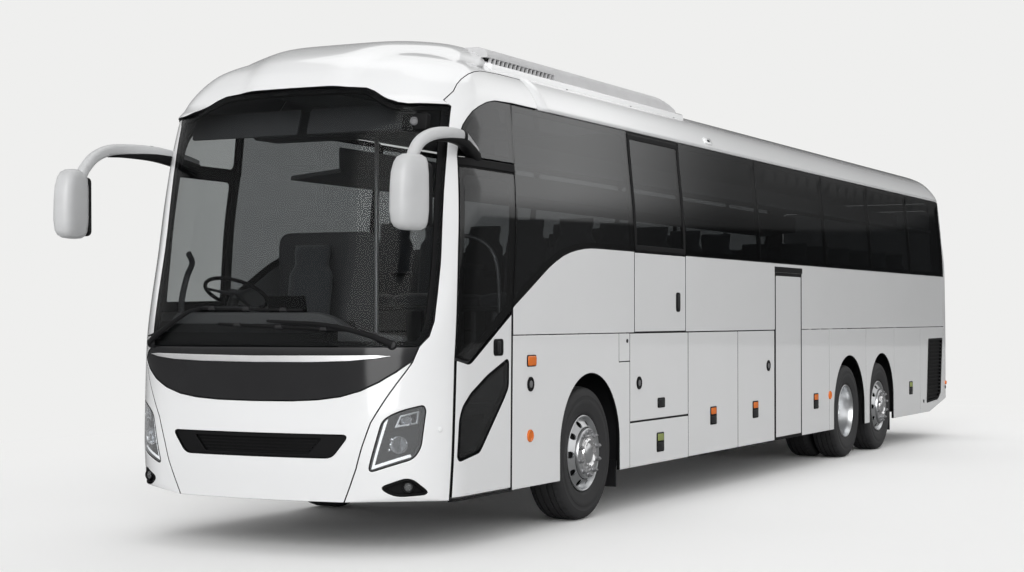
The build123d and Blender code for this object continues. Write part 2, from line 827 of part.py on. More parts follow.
hold_front = front_housing[1] + 5
hold_rear = rear_housing[0] - 5
hold_low = hold_z - hold_plate
bulkhead = 20
bulkhead_x = beam_x + 400
notch_front = middle_front - step_plate - 2 * seat_gap
notch_rear = middle_rear + step_plate + 2 * seat_gap
hold_plates = [
    (-inside_x, inside_x, hold_front, notch_front, hold_low, hold_z),
    (-inside_x, plate_x - seat_gap, notch_front + seat_gap, notch_rear - seat_gap, hold_low, hold_z),
    (-inside_x, inside_x, notch_rear, hold_rear, hold_low, hold_z),
]
for edge in (hold_front, hold_rear - bulkhead):
    hold_plates.append((-bulkhead_x, bulkhead_x, edge, edge + bulkhead, hold_z + seat_gap, beam_low))
saved_boxes("hold_floor", hold_plates)

rail_z = 760
rail_height = 90
hanger = [
    (-640, 680),
    (drive_distance - 670, drive_distance + tag_distance + 700),
]
half_beam = beam_width / 2
member = 60                # width of a cross member
cross_members = [-700, 750, 1900, 3000, 4300, 5600, 6350, 9250, 10000, 11300]
member_low = beam_low + beam_height / 2
post = 80
rail_top = rail_z + rail_height
front_rail_x = beam_x - 40
front_rail_half = 35
cross_front = (-2420, -2320)
cross_reach = (-900, 450)
engine_rail_end = 11420
beams = []
for x in (-beam_x, beam_x):
    span = (x - half_beam, x + half_beam)
    beams.append((*span, saloon_front, floor_end, beam_low, member_low))
    for front, rear in hanger:
        for y in (front, rear - post):
            beams.append((*span, y, y + post, rail_z, beam_low - seat_gap))
        beams.append((*span, front + post + seat_gap, rear - post - seat_gap, rail_z, rail_top))
    # rear rail that carries the engine, with its post
    beams.append((*span, hanger[1][1] + seat_gap, engine_rail_end - seat_gap, rail_z, rail_top))
    beams.append((*span, engine_rail_end, engine_rail_end + post, rail_z, beam_low - seat_gap))
for y in cross_members:
    beams.append((-inside_x, inside_x, y, y + member, member_low + seat_gap, floor_low))
between = beam_x - half_beam - seat_gap
for front, rear in hanger:
    for y in (front, rear - post):
        beams.append((-between, between, y, y + post, rail_z, rail_top))
# front rails under the cab floor, out to a cross piece
for x in (-front_rail_x, front_rail_x):
    span = (x - front_rail_half, x + front_rail_half)
    beams.append((*span, cross_front[1] + seat_gap, hanger[0][0] - seat_gap, rail_z, rail_top))
beams.append((*cross_reach, *cross_front, rail_z, cab_floor_low))
tow_half = 60
tow_plate = 40
tow_low = 600
tow_hole = 20              # radius of the towing eye
tow_y = -2450              # the eye's centre behind the front axle
with BuildPart() as tow_bracket:
    add(floor_box(-tow_half, tow_half, tow_y - tow_half, cross_front[1], tow_low, tow_low + tow_plate))
    add(floor_box(-tow_plate, tow_plate, tow_y + tow_half, cross_front[1], tow_low, rail_z - seat_gap))
    with BuildSketch(Plane.XY.offset(tow_low - tow_plate)):
        with Locations((0, along(tow_y))):
            Circle(tow_hole)
    extrude(amount=3 * tow_plate, mode=Mode.SUBTRACT)
saved_boxes("chassis_frame", beams, tow_bracket.part)

engine_span = (9900, 11350)
engine_low = 450
engine_top = beam_low - 20
engine_half = beam_x - half_beam
gearbox_front = 9350
gearbox_half = 180
saved_boxes(
    "engine",
    [
        (-engine_half, engine_half, *engine_span, engine_low, engine_top),
        (-gearbox_half, gearbox_half, gearbox_front, engine_span[0], engine_low + 30, rail_z + 40),
    ],
)


housing_x = 565            # inner plate of a housing
housing_low = 420          # lower edge of its end plates
flap_span = (900, 1200)    # the mud flap behind the wheels
flap_low = 200


def housing(front, rear):
    """Liner over the wheels on one side: plates open below and outward, with a mud flap."""
    under = housing_top - housing_plate - seat_gap
    plate_end = rear - housing_plate
    inner_end = plate_end - seat_gap
    return [
        (housing_x, inside_x, front, rear, housing_top - housing_plate, housing_top),
        (housing_x, housing_x + housing_plate, front + housing_plate + seat_gap, inner_end, 620, under),
        (housing_x, inside_x, front, front + housing_plate, housing_low, under),
        (housing_x, inside_x, plate_end, rear, housing_low, under),
        (*flap_span, plate_end, rear, flap_low, housing_low - seat_gap),
    ]


liners = []
for span in (front_housing, rear_housing):
    for x0, x1, *rest in housing(*span):
        liners.append((x0, x1, *rest))
        liners.append((-x1, -x0, *rest))
saved_boxes("wheel_housings", liners)

# ---- Axles, steering knuckles and wheels ----
bellows_radius = 115
bracket_z = tyre_radius + 60


def bellows(y, spread):
    """Air springs from the axle's brackets up to the frame rails."""
    parts = []
    for x in (-beam_x, beam_x):
        for side in spread:
            place = along(y) + side
            with BuildPart() as spring:
                with Locations((x, place, (bracket_z + 40 + rail_z) / 2)):
                    Cylinder(bellows_radius, rail_z - bracket_z - 40)
                with Locations((x, (place + along(y)) / 2, bracket_z + 10)):
                    Box(120, abs(side) + 120, 60)
            parts.append(spring.part)
    return parts


knuckle_lug = 35
boss_half = 70
with BuildPart() as front_axle:
    add(box(-kingpin_x, kingpin_x, axle_y - 50, axle_y + 50, tyre_radius - 50, tyre_radius + 40))
    for x in (-kingpin_x, kingpin_x):
        with Locations((x, axle_y, tyre_radius)):
            Cylinder(48, 2 * boss_half)
            Cylinder(25 + seat_gap, 4 * boss_half, mode=Mode.SUBTRACT)
    for part in bellows(0, (-250, 250)):
        add(part)
save(front_axle.part, "front_axle")

spindle_end = wheel_x + 85
for sign, hand in ((1, "left"), (-1, "right")):
    with BuildPart() as knuckle:
        for side in (-1, 1):
            lug_z = tyre_radius + side * (boss_half + seat_gap + knuckle_lug / 2)
            with Locations((kingpin_x, axle_y, lug_z)):
                Cylinder(52, knuckle_lug)
                Box(52, 104, knuckle_lug, align=(Align.MIN, Align.CENTER, Align.CENTER))
        with Locations((kingpin_x, axle_y, tyre_radius)):
            Cylinder(25, 2 * boss_half + 2 * knuckle_lug)
        reach = boss_half + seat_gap + knuckle_lug
        add(
            box(
                kingpin_x + 52, kingpin_x + 90, axle_y - 52, axle_y + 52,
                tyre_radius - reach, tyre_radius + reach,
            )
        )
        with BuildSketch(Plane(origin=(kingpin_x + 60, axle_y, tyre_radius), z_dir=(1, 0, 0))):
            Circle(spindle_radius)
        extrude(amount=spindle_end - kingpin_x - 60)
        if sign < 0:
            mirror(about=Plane.YZ, mode=Mode.REPLACE)
    save(knuckle.part, f"knuckle_{hand}")

with BuildPart() as drive_axle:
    for radius, reach in ((85, 880), (60, twin_x + 90)):
        with BuildSketch(Plane(origin=(-reach, drive_y, tyre_radius), z_dir=(1, 0, 0))):
            Circle(radius)
        extrude(amount=2 * reach)
    with BuildSketch(Plane(origin=(-150, drive_y, tyre_radius), z_dir=(1, 0, 0))):
        Circle(190)
    extrude(amount=300)
    for part in bellows(drive_distance, (-330, 330)):
        add(part)
save(drive_axle.part, "drive_axle")

tag_beam_half = 1000
with BuildPart() as tag_axle:
    add(box(-tag_beam_half, tag_beam_half, tag_y - 55, tag_y + 55, tyre_radius - 60, tyre_radius + 60))
    with BuildSketch(Plane(origin=(-spindle_end, tag_y, tyre_radius), z_dir=(1, 0, 0))):
        Circle(spindle_radius)
    extrude(amount=2 * spindle_end)
    for part in bellows(drive_distance + tag_distance, (-250, 250)):
        add(part)
save(tag_axle.part, "tag_axle")

tyre_half = tyre_width / 2
# half profile of a tyre: across, out from the axle
tyre_profile = [
    (tyre_half - 34, rim_radius + seat_gap),
    (tyre_half - 12, rim_radius + 40),
    (tyre_half, rim_radius + 100),
    (tyre_half - 4, tyre_radius - 60),
    (tyre_half - 22, tyre_radius - 16),
    (tyre_half - 48, tyre_radius - 3),
    (tyre_half - 62, tyre_radius),
]
rim_half = tyre_half - 26
# rim of a single wheel: across (outward +), out from the axle
single_rim = [
    (-rim_half, rim_radius), (rim_half, rim_radius), (rim_half + 6, rim_radius - 4),
    (rim_half + 2, rim_radius - 18),
    (rim_half - 40, 268), (60, 262), (112, 196), (120, 190), (120, 100),
    (150, 92), (152, 60), (152, 0), (88, 0), (88, spindle_radius + seat_gap), (20, spindle_radius + seat_gap),
    (20, 110), (98, 120), (98, 190), (40, 258), (-rim_half + 10, 276),
]


def wheel_frame(x, y, sign):
    """Sketch plane across a wheel: first axis outward, second up from the axle."""
    return Plane(origin=(x, y, tyre_radius), x_dir=(sign, 0, 0), z_dir=(0, -sign, 0))


def turned(profile, x, y, sign):
    """Solid of revolution about a wheel's axle from a profile (outward, radius)."""
    with BuildPart() as solid:
        with BuildSketch(wheel_frame(x, y, sign)):
            with BuildLine():
                Polyline(*profile, close=True)
            make_face()
        revolve(axis=Axis((x, y, tyre_radius), (1, 0, 0)))
    return solid.part


def tyre(x, y, sign):
    """Plain tyre centred on this place."""
    mirrored = [(-across, out) for across, out in tyre_profile[::-1]]
    return turned(tyre_profile + mirrored, x, y, sign)


hole_ring = 228
hole_radius = 24


def hand_holes(x, y, sign):
    """Round holes through a wheel's disc."""
    with BuildPart() as holes:
        with BuildSketch(Plane(origin=(x - sign * 40, y, tyre_radius), z_dir=(sign, 0, 0))):
            with PolarLocations(hole_ring, 10):
                Circle(hole_radius)
        extrude(amount=170)
    return holes.part


twin_hole_ring = 205
twin_hole_radius = 22
for end, y in (("front", axle_y), ("tag", tag_y)):
    for sign, hand in ((1, "left"), (-1, "right")):
        save(tyre(sign * wheel_x, y, sign), f"tyre_{end}_{hand}")
        with BuildPart() as rim:
            add(turned(single_rim, sign * wheel_x, y, sign))
            add(hand_holes(sign * wheel_x, y, sign), mode=Mode.SUBTRACT)
        save(rim.part, f"rim_{end}_{hand}")

half_twin = twin_spacing / 2
# twin rims on one hub: across from the middle of the pair, out from the axle
twin_rim = [
    (half_twin - rim_half, rim_radius), (half_twin + rim_half, rim_radius),
    (half_twin + rim_half + 4, rim_radius - 6), (half_twin + rim_half, rim_radius - 18),
    (half_twin + 60, 270), (half_twin - 70, 262), (26, 235), (16, 190), (16, 118),
    (half_twin + 30, 110), (half_twin + 40, 60), (half_twin + 40, 0), (95, 0), (95, 60 + seat_gap),
    (-48, 60 + seat_gap), (-48, 120),
    (-16, 122), (-16, 190), (-26, 235), (70 - half_twin, 262), (-half_twin - 60, 270),
    (-half_twin - rim_half, rim_radius - 18), (-half_twin - rim_half, rim_radius),
    (rim_half - half_twin, rim_radius), (rim_half - half_twin, 276), (half_twin - rim_half, 276),
]
for sign, hand in ((1, "left"), (-1, "right")):
    pair = [tyre(sign * (twin_x + side * half_twin), drive_y, sign) for side in (1, -1)]
    saved_union(f"tyre_drive_{hand}", pair)
    with BuildPart() as rim:
        add(turned(twin_rim, sign * twin_x, drive_y, sign))
        with BuildSketch(
            Plane(origin=(sign * (twin_x - 100), drive_y, tyre_radius), z_dir=(sign, 0, 0))
        ):
            with PolarLocations(twin_hole_ring, 10):
                Circle(twin_hole_radius)
        extrude(amount=200, mode=Mode.SUBTRACT)
    save(rim.part, f"rim_drive_{hand}")

# ---- Inside ----
seat_pitch = 820
seat_width = 900
aisle_half = 190
# side views of a seat's two parts, (behind its front edge, above the floor)
seat_base = [(0, 330), (20, 450), (430, 440), (455, 300), (380, 300), (380, 0), (140, 0), (140, 300)]
seat_back = [(455.5, 300), (430.5, 440), (560, 1110), (640, 1110), (560, 330), (540, 300)]


def side_slab(outline, y, floor, x0, x1):
    """Slab between two places on X with an outline given from a place on the floor."""
    with BuildPart() as slab:
        with BuildSketch(Plane.YZ.offset(x0)):
            with BuildLine():
                Polyline(*[(along(y) + a, floor + b) for a, b in outline], close=True)
            make_face()
        extrude(amount=x1 - x0)
    return slab.part


def seat_rows_at(places, x0, x1):
    """Pairs of plain seats, each a base and a back."""
    return [side_slab(part, y, floor_z, x0, x1) for y in places for part in (seat_base, seat_back)]


seat_rows = 13
first_row = 60
row_places = [first_row + seat_pitch * index for index in range(seat_rows)]
left_places = [y for y in row_places if not mid_stair[0] - 700 < y < mid_stair[1] + 40]
seat_edge = aisle_half + seat_width
saved_union("seats_left", seat_rows_at(left_places, aisle_half, seat_edge))
saved_union("seats_right", seat_rows_at(row_places, -seat_edge, -aisle_half))

rack_start = -500
rack_length = 11800
rack_shelf = [(700, 2760), (1300, 2700), (1300, 2735), (720, 2790), (700, 2790)]
rack_lip = [(700, 2790.3), (720, 2790.3), (720, 2960), (700, 2960)]
with BuildPart() as luggage_racks:
    for sign in (1, -1):
        for part in (rack_shelf, rack_lip):
            add(end_block(signed(part, sign), along(rack_start), rack_length) & rim_inner)
save(luggage_racks.part, "luggage_racks")

driver_x = -700
driver_seat_half = 240
driver_base = [(0, 330), (10, 450), (430, 430), (455, 300), (420, 300), (420, 0), (120, 0), (120, 300)]
driver_back = [(455.5, 300), (430.5, 430), (560, 1230), (660, 1230), (560, 330), (540, 300)]
driver_span = (driver_x - driver_seat_half, driver_x + driver_seat_half)
saved_union(
    "driver_seat",
    [side_slab(part, -1520, cab_floor_z, *driver_span) for part in (driver_base, driver_back)],
)

steering_place = (driver_x - 30, along(-1900), 1770)
steering_tilt = radians(28)
steering_radius = 235
steering_plane = Plane(
    origin=steering_place, x_dir=(1, 0, 0), z_dir=(0, sin(steering_tilt), cos(steering_tilt))
)
column_radius = 40
shaft_radius = 18
shaft_length = 150
hub_thick = 18
column_top = 60            # below the wheel's plane
column_foot = 420
dash_span = (-1130, 400)
dash_edge = placed(
    [
        (-2420, cab_floor_z), (-2420, 1480), (-2250, 1560), (-2080, 1560), (-1980, 1440),
        (-1980, 1380), (-2150, 1200), (-2150, cab_floor_z),
    ]
)
with BuildPart() as dashboard:
    add(side_block(dash_edge, 1, *dash_span))
    add(rim_inner, mode=Mode.INTERSECT)
    with BuildSketch(steering_plane.offset(-column_foot)):
        Circle(column_radius)
    extrude(amount=column_foot - column_top)
    with BuildSketch(steering_plane.offset(-hub_thick - shaft_length - seat_gap)):
        Circle(shaft_radius + seat_gap)
    extrude(amount=hub_thick + shaft_length, mode=Mode.SUBTRACT)
save(dashboard.part, "dashboard")

with BuildPart() as steering_wheel:
    with BuildSketch(steering_plane):
        Circle(60)
        with PolarLocations(0, 4, 45):
            with Locations((steering_radius / 2, 0)):
                Rectangle(steering_radius, 30)
    extrude(amount=-hub_thick)
    with BuildSketch(steering_plane.offset(-hub_thick)):
        Circle(shaft_radius)
    extrude(amount=-shaft_length)
    add(
        Torus(steering_radius, 15, mode=Mode.PRIVATE).moved(steering_plane.offset(-hub_thick / 2).location)
    )
save(steering_wheel.part, "steering_wheel")

# ---- Mirrors and wipers ----
mirror_head = (165, 300, 490)
head_toe = 8
with BuildPart() as mirrors:
    for sign in (1, -1):
        path = [
            (sign * 1180, along(-1960), 2790), (sign * 1300, along(-2120), 2820),
            (sign * 1345, along(-2480), 2808), (sign * 1330, along(-2740), 2770),
            (sign * 1340, along(-2885), 2640), (sign * 1345, along(-2930), 2560),
        ]
        for start, end in zip(path, path[1:]):
            add(bar(start, end, 34))
        toe = radians(head_toe)
        head = Plane(origin=(sign * 1372, along(-2984), 2385), x_dir=(cos(toe), -sign * sin(toe), 0))
        with BuildPart(mode=Mode.PRIVATE) as shape:
            Box(*mirror_head)
            fillet(shape.edges().filter_by(Axis.Z), 60)
        add(shape.part.moved(head.location))
    add(pod_seat, mode=Mode.SUBTRACT)
save(mirrors.part, "mirrors")

wiper_lift = 22
wiper_radius = 11
# wiper on each side: pivot, elbow, blade ends, seen from the front (x, height)
wiper_sets = [
    [(-1000, 1405), (-760, 1580), (-250, 1590)],
    [(1000, 1405), (700, 1500), (150, 1470)],
]
with BuildPart() as wipers:
    for pivot, *rest in wiper_sets:
        at = (pivot[0], nose_at(*pivot) - wiper_lift, pivot[1] - 40)
        with BuildSketch(Plane(origin=at, z_dir=(0, 1, 0))):
            Circle(18)
        extrude(amount=60)
        route = [at] + [(x, nose_at(x, z) - wiper_lift, z) for x, z in rest]
        for start, end in zip(route, route[1:]):
            add(bar(start, end, wiper_radius))
    add(pod_seat, mode=Mode.SUBTRACT)
save(wipers.part, "wipers")
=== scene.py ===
# %% [markdown]
# A touring coach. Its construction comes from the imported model, which is loaded first and never
# moved. This notebook gives it its skin, glass, lamps, wheels and trim.
# Every piece is in metres, in the model's own frame: the front faces -Y, +X is the door side.

import json
import math

import bmesh
import bpy
import numpy as np
from mathutils import Matrix, Vector, geometry


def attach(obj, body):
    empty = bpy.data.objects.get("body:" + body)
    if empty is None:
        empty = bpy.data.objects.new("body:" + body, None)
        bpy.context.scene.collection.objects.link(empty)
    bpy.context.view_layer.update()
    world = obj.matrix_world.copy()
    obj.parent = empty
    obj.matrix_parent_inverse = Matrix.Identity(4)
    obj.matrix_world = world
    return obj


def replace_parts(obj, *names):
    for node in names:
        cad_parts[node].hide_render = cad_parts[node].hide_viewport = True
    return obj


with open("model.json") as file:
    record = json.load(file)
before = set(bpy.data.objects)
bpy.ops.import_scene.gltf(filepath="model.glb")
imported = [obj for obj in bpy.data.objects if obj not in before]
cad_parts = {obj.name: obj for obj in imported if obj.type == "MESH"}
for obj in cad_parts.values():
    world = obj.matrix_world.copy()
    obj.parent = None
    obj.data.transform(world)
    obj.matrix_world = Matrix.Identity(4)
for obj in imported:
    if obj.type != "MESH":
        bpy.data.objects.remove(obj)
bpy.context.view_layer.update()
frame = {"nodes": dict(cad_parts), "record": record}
nodes = frame["nodes"]

# %% [markdown]
# Sizes that the pieces share. Places along the coach are measured from the front axle, as a
# coachbuilder does, and `at` turns them into the frame's Y.

# %% Sizes of the coach
BODY_LENGTH = 14.61
MIRROR_REACH = 0.412
FRONT_OVERHANG = 2.73
FRONT_AXLE = -(BODY_LENGTH + MIRROR_REACH) / 2 + MIRROR_REACH + FRONT_OVERHANG
DRIVE = 7.17
TAG = DRIVE + 1.35
NOSE = -FRONT_OVERHANG
TAIL = BODY_LENGTH - FRONT_OVERHANG
SKIRT, BELT, WAIST = 0.34, 1.457, 2.132
TYRE_R, TYRE_W, RIM_R = 0.522, 0.292, 0.298
WHEEL_X = 1.245 - TYRE_W / 2
TWIN = 0.33
HANDS = ((1, "left"), (-1, "right"))
ACROSS, ALONG, UP = (1, 0, 0), (0, 1, 0), (0, 0, 1)


def at(y):
    """Frame Y of a place this far behind the front axle."""
    return FRONT_AXLE + y


def placed(points):
    """Points whose y is measured behind the front axle, as places in the frame."""
    return [(x, at(y), z) for x, y, z in points]


print("front axle at", round(FRONT_AXLE, 3))

# %% [markdown]
# Shader maths reads best as plain expressions. `Sock` wraps one output socket, so that
# `1 - mask * 0.5` adds the Math nodes by itself, and `Tree.node` makes any other node.

# %% Shader helpers
class Sock:
    """One output of a shader node, with arithmetic that adds Math nodes."""

    def __init__(self, tree, socket):
        self.tree, self.socket = tree, socket

    def _math(self, operation, *values):
        return self.tree.node("ShaderNodeMath", {"operation": operation}, dict(enumerate(values)))

    def __add__(self, other): return self._math("ADD", self, other)
    def __radd__(self, other): return self._math("ADD", other, self)
    def __sub__(self, other): return self._math("SUBTRACT", self, other)
    def __rsub__(self, other): return self._math("SUBTRACT", other, self)
    def __mul__(self, other): return self._math("MULTIPLY", self, other)
    def __rmul__(self, other): return self._math("MULTIPLY", other, self)

    def clamp(self):
        return self._math("MINIMUM", self._math("MAXIMUM", self, 0.0), 1.0)


class Tree:
    """The node tree of a material or a world, with one method that makes every kind of node."""

    def __init__(self, name, holders=None, output="ShaderNodeOutputMaterial"):
        self.made = (bpy.data.materials if holders is None else holders).new(name)
        self.output = output
        self.made.use_nodes = True
        self.nodes = self.made.node_tree.nodes
        self.links = self.made.node_tree.links
        self.nodes.clear()

    def node(self, kind, settings=None, inputs=None, out=0):
        made = self.nodes.new(kind)
        for key, value in (settings or {}).items():
            setattr(made, key, value)
        for key, value in (inputs or {}).items():
            if isinstance(value, Sock):
                self.links.new(value.socket, made.inputs[key])
            elif value is not None:
                made.inputs[key].default_value = value
        return Sock(self, made.outputs[out]) if made.outputs else None

    def mix(self, factor, first, second):
        """Mix of two colours, each a tuple or a Sock."""
        pair = [value if isinstance(value, Sock) else (*value, 1) for value in (first, second)]
        return self.node("ShaderNodeMix", {"data_type": "RGBA"}, {0: factor, 6: pair[0], 7: pair[1]}, out=2)

    def noise(self, scale, detail=2.0):
        return self.node("ShaderNodeTexNoise", {}, {"Vector": self.place(), "Scale": scale,
            "Detail": detail})

    def place(self):
        return self.node("ShaderNodeTexCoord", out=3)

    def bump(self, height, strength, distance):
        return self.node("ShaderNodeBump", {}, {"Height": height, "Strength": strength,
            "Distance": distance})

    def finish(self, shader):
        self.node(self.output, {}, {"Surface": shader})
        return self.made

    def skin(self, **values):
        """Principled shader from its socket names, with underscores for spaces."""
        inputs = {}
        for key, value in values.items():
            if isinstance(value, tuple) and len(value) == 3:
                value = (*value, 1)
            inputs[key.replace("_", " ")] = value
        return self.node("ShaderNodeBsdfPrincipled", {}, inputs)


print("shader helpers ready")

# %% [markdown]
# Paint is a smooth white coat under a clear one. A very faint orange-peel bump breaks up long
# reflections the way sprayed panels do.

# %% Finishes
def sprayed_white():
    tree = Tree("sprayed_white")
    peel = tree.noise(220.0, 2.0)
    wave = tree.noise(0.9, 2.0)
    colour = tree.mix(wave, (0.72, 0.725, 0.73), (0.76, 0.765, 0.77))
    return tree.finish(tree.skin(
        Base_Color=colour, Roughness=0.24, Coat_Weight=1.0, Coat_Roughness=0.03,
        Normal=tree.bump(peel, 0.04, 0.0004)))


def satin_black(name, colour, rough, gloss=0.5):
    tree = Tree(name)
    grain = tree.noise(600.0, 3.0)
    patch = tree.noise(3.0, 3.0)
    tone = tree.mix(patch, tuple(c * 0.85 for c in colour), tuple(c * 1.15 for c in colour))
    return tree.finish(tree.skin(
        Base_Color=tone, Roughness=rough + 0.06 * patch, Specular_IOR_Level=gloss,
        Normal=tree.bump(grain, 0.08, 0.0003)))


def see_through(name, tint, clear, base, mirror=1.6):
    """A gloss coat over a tinted film. The coat's share grows toward grazing angles on both faces."""
    tree = Tree(name)
    film = tree.node("ShaderNodeBsdfTransparent", {}, {"Color": (*tint, 1)})
    coat = tree.skin(Base_Color=base, Roughness=0.02, IOR=mirror)
    facing = tree.node("ShaderNodeLayerWeight", {}, {"Blend": 0.5}, out="Facing")
    factor = (facing * facing * facing * facing * facing + (1.04 - clear)).clamp()
    return tree.finish(tree.node("ShaderNodeMixShader", {}, {0: factor, 1: film, 2: coat}))


def tinted_glass(name, tint, clear, mirror=8.0):
    return see_through(name, tint, clear, (0.012, 0.013, 0.014), mirror)


def metal(name, colour, rough):
    tree = Tree(name)
    cloud = tree.noise(14.0, 3.0)
    return tree.finish(tree.skin(
        Base_Color=tree.mix(cloud, tuple(c * 0.94 for c in colour), colour), Metallic=1.0,
        Roughness=rough + 0.06 * cloud, Normal=tree.bump(tree.noise(300.0), 0.03, 0.0003)))


def tyre_rubber():
    tree = Tree("tyre_rubber")
    dust = tree.noise(9.0, 5.0)
    return tree.finish(tree.skin(
        Base_Color=tree.mix(dust, (0.013, 0.013, 0.014), (0.026, 0.026, 0.027)),
        Roughness=0.62 + 0.12 * dust, Normal=tree.bump(tree.noise(180.0, 4.0), 0.15, 0.0005)))


def woven_cloth(name, colour):
    tree = Tree(name)
    weave = tree.node("ShaderNodeTexVoronoi", {}, {"Vector": tree.place(), "Scale": 420.0})
    fleck = tree.noise(60.0, 3.0)
    return tree.finish(tree.skin(
        Base_Color=tree.mix(fleck, tuple(c * 0.7 for c in colour), tuple(c * 1.3 for c in colour)),
        Roughness=0.9, Sheen_Weight=0.3, Normal=tree.bump(weave, 0.3, 0.0008)))


def lens(name, colour, clear):
    return see_through(name, colour, clear, tuple(c * 0.6 for c in colour))


def glow(name, colour, strength, base):
    tree = Tree(name)
    grain = tree.noise(90.0)
    return tree.finish(tree.skin(
        Base_Color=tree.mix(grain, base, tuple(min(1, c * 1.1) for c in base)), Roughness=0.2,
        Emission_Color=(*colour, 1), Emission_Strength=strength))


WHITE = sprayed_white()
SHELL = satin_black("mirror_shell", (0.5, 0.505, 0.51), 0.3)
TRIM = satin_black("satin_trim", (0.014, 0.014, 0.015), 0.3, 0.25)
APRON = satin_black("apron_grey", (0.018, 0.018, 0.019), 0.12)
SEAL = satin_black("seal_rubber", (0.006, 0.006, 0.0065), 0.5, 0.12)
UNDER = satin_black("underbody_coat", (0.03, 0.03, 0.031), 0.7)
CABIN = satin_black("cabin_grey", (0.15, 0.15, 0.155), 0.6)
CABIN_DARK = satin_black("cabin_dark", (0.06, 0.06, 0.065), 0.6)
CABIN_PALE = satin_black("pale_grey", (0.52, 0.52, 0.525), 0.5)
FLOOR_VINYL = satin_black("floor_vinyl", (0.12, 0.12, 0.125), 0.5)
SIDE_GLASS = tinted_glass("side_glass", (0.5, 0.51, 0.515), 0.96)
TAIL_GLASS = tinted_glass("tail_glass", (0.2, 0.205, 0.21), 0.96)
SCREEN_GLASS = tinted_glass("screen_glass", (0.74, 0.75, 0.75), 0.99, 1.8)
CHROME = metal("bright_strip", (0.93, 0.93, 0.935), 0.16)
ALLOY = metal("polished_alloy", (0.7, 0.71, 0.72), 0.27)
STEEL = metal("zinc_steel", (0.42, 0.42, 0.43), 0.42)
STRIP_METAL = metal("polished_strip", (0.97, 0.97, 0.975), 0.34)
RUBBER = tyre_rubber()
CLOTH = woven_cloth("seat_cloth", (0.06, 0.063, 0.07))
LENS_CLEAR = lens("clear_lens", (0.92, 0.93, 0.94), 0.93)
LENS_RED = lens("red_lens", (0.5, 0.02, 0.02), 0.35)
AMBER = glow("amber_marker", (1.0, 0.45, 0.05), 0.0, (0.62, 0.14, 0.014))
GREEN = glow("green_reflector", (0.3, 0.4, 0.1), 0.0, (0.22, 0.26, 0.08))
LIGHT_BAR = glow("light_bar", (1, 1, 1), 0.5, (0.9, 0.9, 0.9))
print("finishes:", len(bpy.data.materials))

# %% [markdown]
# Panels of a coach are pressed to one smooth body form, so the form comes first and every panel is
# cut from it. `LEVELS` gives plan outlines at rising heights. A point on the skin is then found
# from two numbers: the way round the outline and the height parameter up the side and over the roof.

# %% Levels of the body form
# parameter, height, half width, nose set back, tail set in, nose radius, corner radius, tail radius
LEVELS = np.array([
    (0.340, 0.340, 1.275, 0.030, 0.010, 4.0, 0.58, 0.16),
    (0.700, 0.700, 1.275, 0.000, 0.000, 4.0, 0.58, 0.16),
    (1.330, 1.330, 1.275, 0.016, 0.000, 4.0, 0.58, 0.16),
    (2.132, 2.132, 1.275, 0.168, 0.040, 3.7, 0.56, 0.16),
    (3.030, 3.030, 1.206, 0.340, 0.090, 3.4, 0.52, 0.18),
    (3.140, 3.140, 1.197, 0.420, 0.110, 3.4, 0.50, 0.19),
    (3.273, 3.262, 1.145, 0.515, 0.160, 3.2, 0.48, 0.22),
    (3.459, 3.400, 1.020, 0.670, 0.270, 3.0, 0.46, 0.26),
    (3.694, 3.484, 0.800, 0.880, 0.420, 2.8, 0.42, 0.26),
    (4.077, 3.530, 0.420, 1.250, 0.700, 2.6, 0.30, 0.26),
    (4.497, 3.536, 0.030, 1.660, 1.000, 2.6, 0.02, 0.02),
])


def tangents_of(knots, rows):
    """Slopes at each row that keep a cubic from overshooting."""
    steps = np.diff(knots)[:, None]
    slopes = np.diff(rows, axis=0) / steps
    found = np.zeros_like(rows)
    for i in range(1, len(rows) - 1):
        before, after = slopes[i - 1], slopes[i]
        same = before * after > 0
        near, ahead = 2 * steps[i] + steps[i - 1], steps[i] + 2 * steps[i - 1]
        safe_before, safe_after = np.where(same, before, 1), np.where(same, after, 1)
        found[i] = np.where(same, (near + ahead) / (near / safe_before + ahead / safe_after), 0)
    found[0], found[-1] = slopes[0], slopes[-1]
    return found


def cubic(knots, rows, slopes, t):
    """Rows of values at each t of the smooth curves through the rows given at the knots."""
    low = np.clip(np.searchsorted(knots, t, "right") - 1, 0, len(knots) - 2)
    step = (knots[low + 1] - knots[low])[:, None]
    u = np.clip((t - knots[low])[:, None] / step, 0, 1)
    return ((1 + 2 * u) * (1 - u) ** 2 * rows[low] + u * (1 - u) ** 2 * step * slopes[low]
        + u * u * (3 - 2 * u) * rows[low + 1] + u * u * (u - 1) * step * slopes[low + 1])


KNOTS, ROWS = LEVELS[:, 0], LEVELS[:, 1:]
TANGENTS = tangents_of(KNOTS, ROWS)


def level(t):
    """The level's seven values at each parameter, as seven arrays."""
    return cubic(KNOTS, ROWS, TANGENTS, np.asarray(t, float)).T


def outline(t):
    """The plan outline at each parameter: centres, angles and the lengths where its arcs end."""
    height, half, back, tail_in, nose_r, corner_r, tail_r = level(t)
    nose_y = NOSE + back + nose_r
    corner_x = half - corner_r
    lean = np.arcsin(corner_x / (nose_r - corner_r))
    corner_y = nose_y - (nose_r - corner_r) * np.cos(lean)
    tail_y = TAIL - tail_in - tail_r
    ends = [nose_r * lean]
    ends.append(ends[0] + corner_r * (math.pi / 2 - lean))
    ends.append(ends[1] + tail_y - corner_y)
    ends.append(ends[2] + tail_r * math.pi / 2)
    total = ends[3] + half - tail_r
    return height, half, nose_r, nose_y, corner_r, corner_x, corner_y, lean, tail_r, tail_y, ends, total


print("levels:", len(LEVELS))

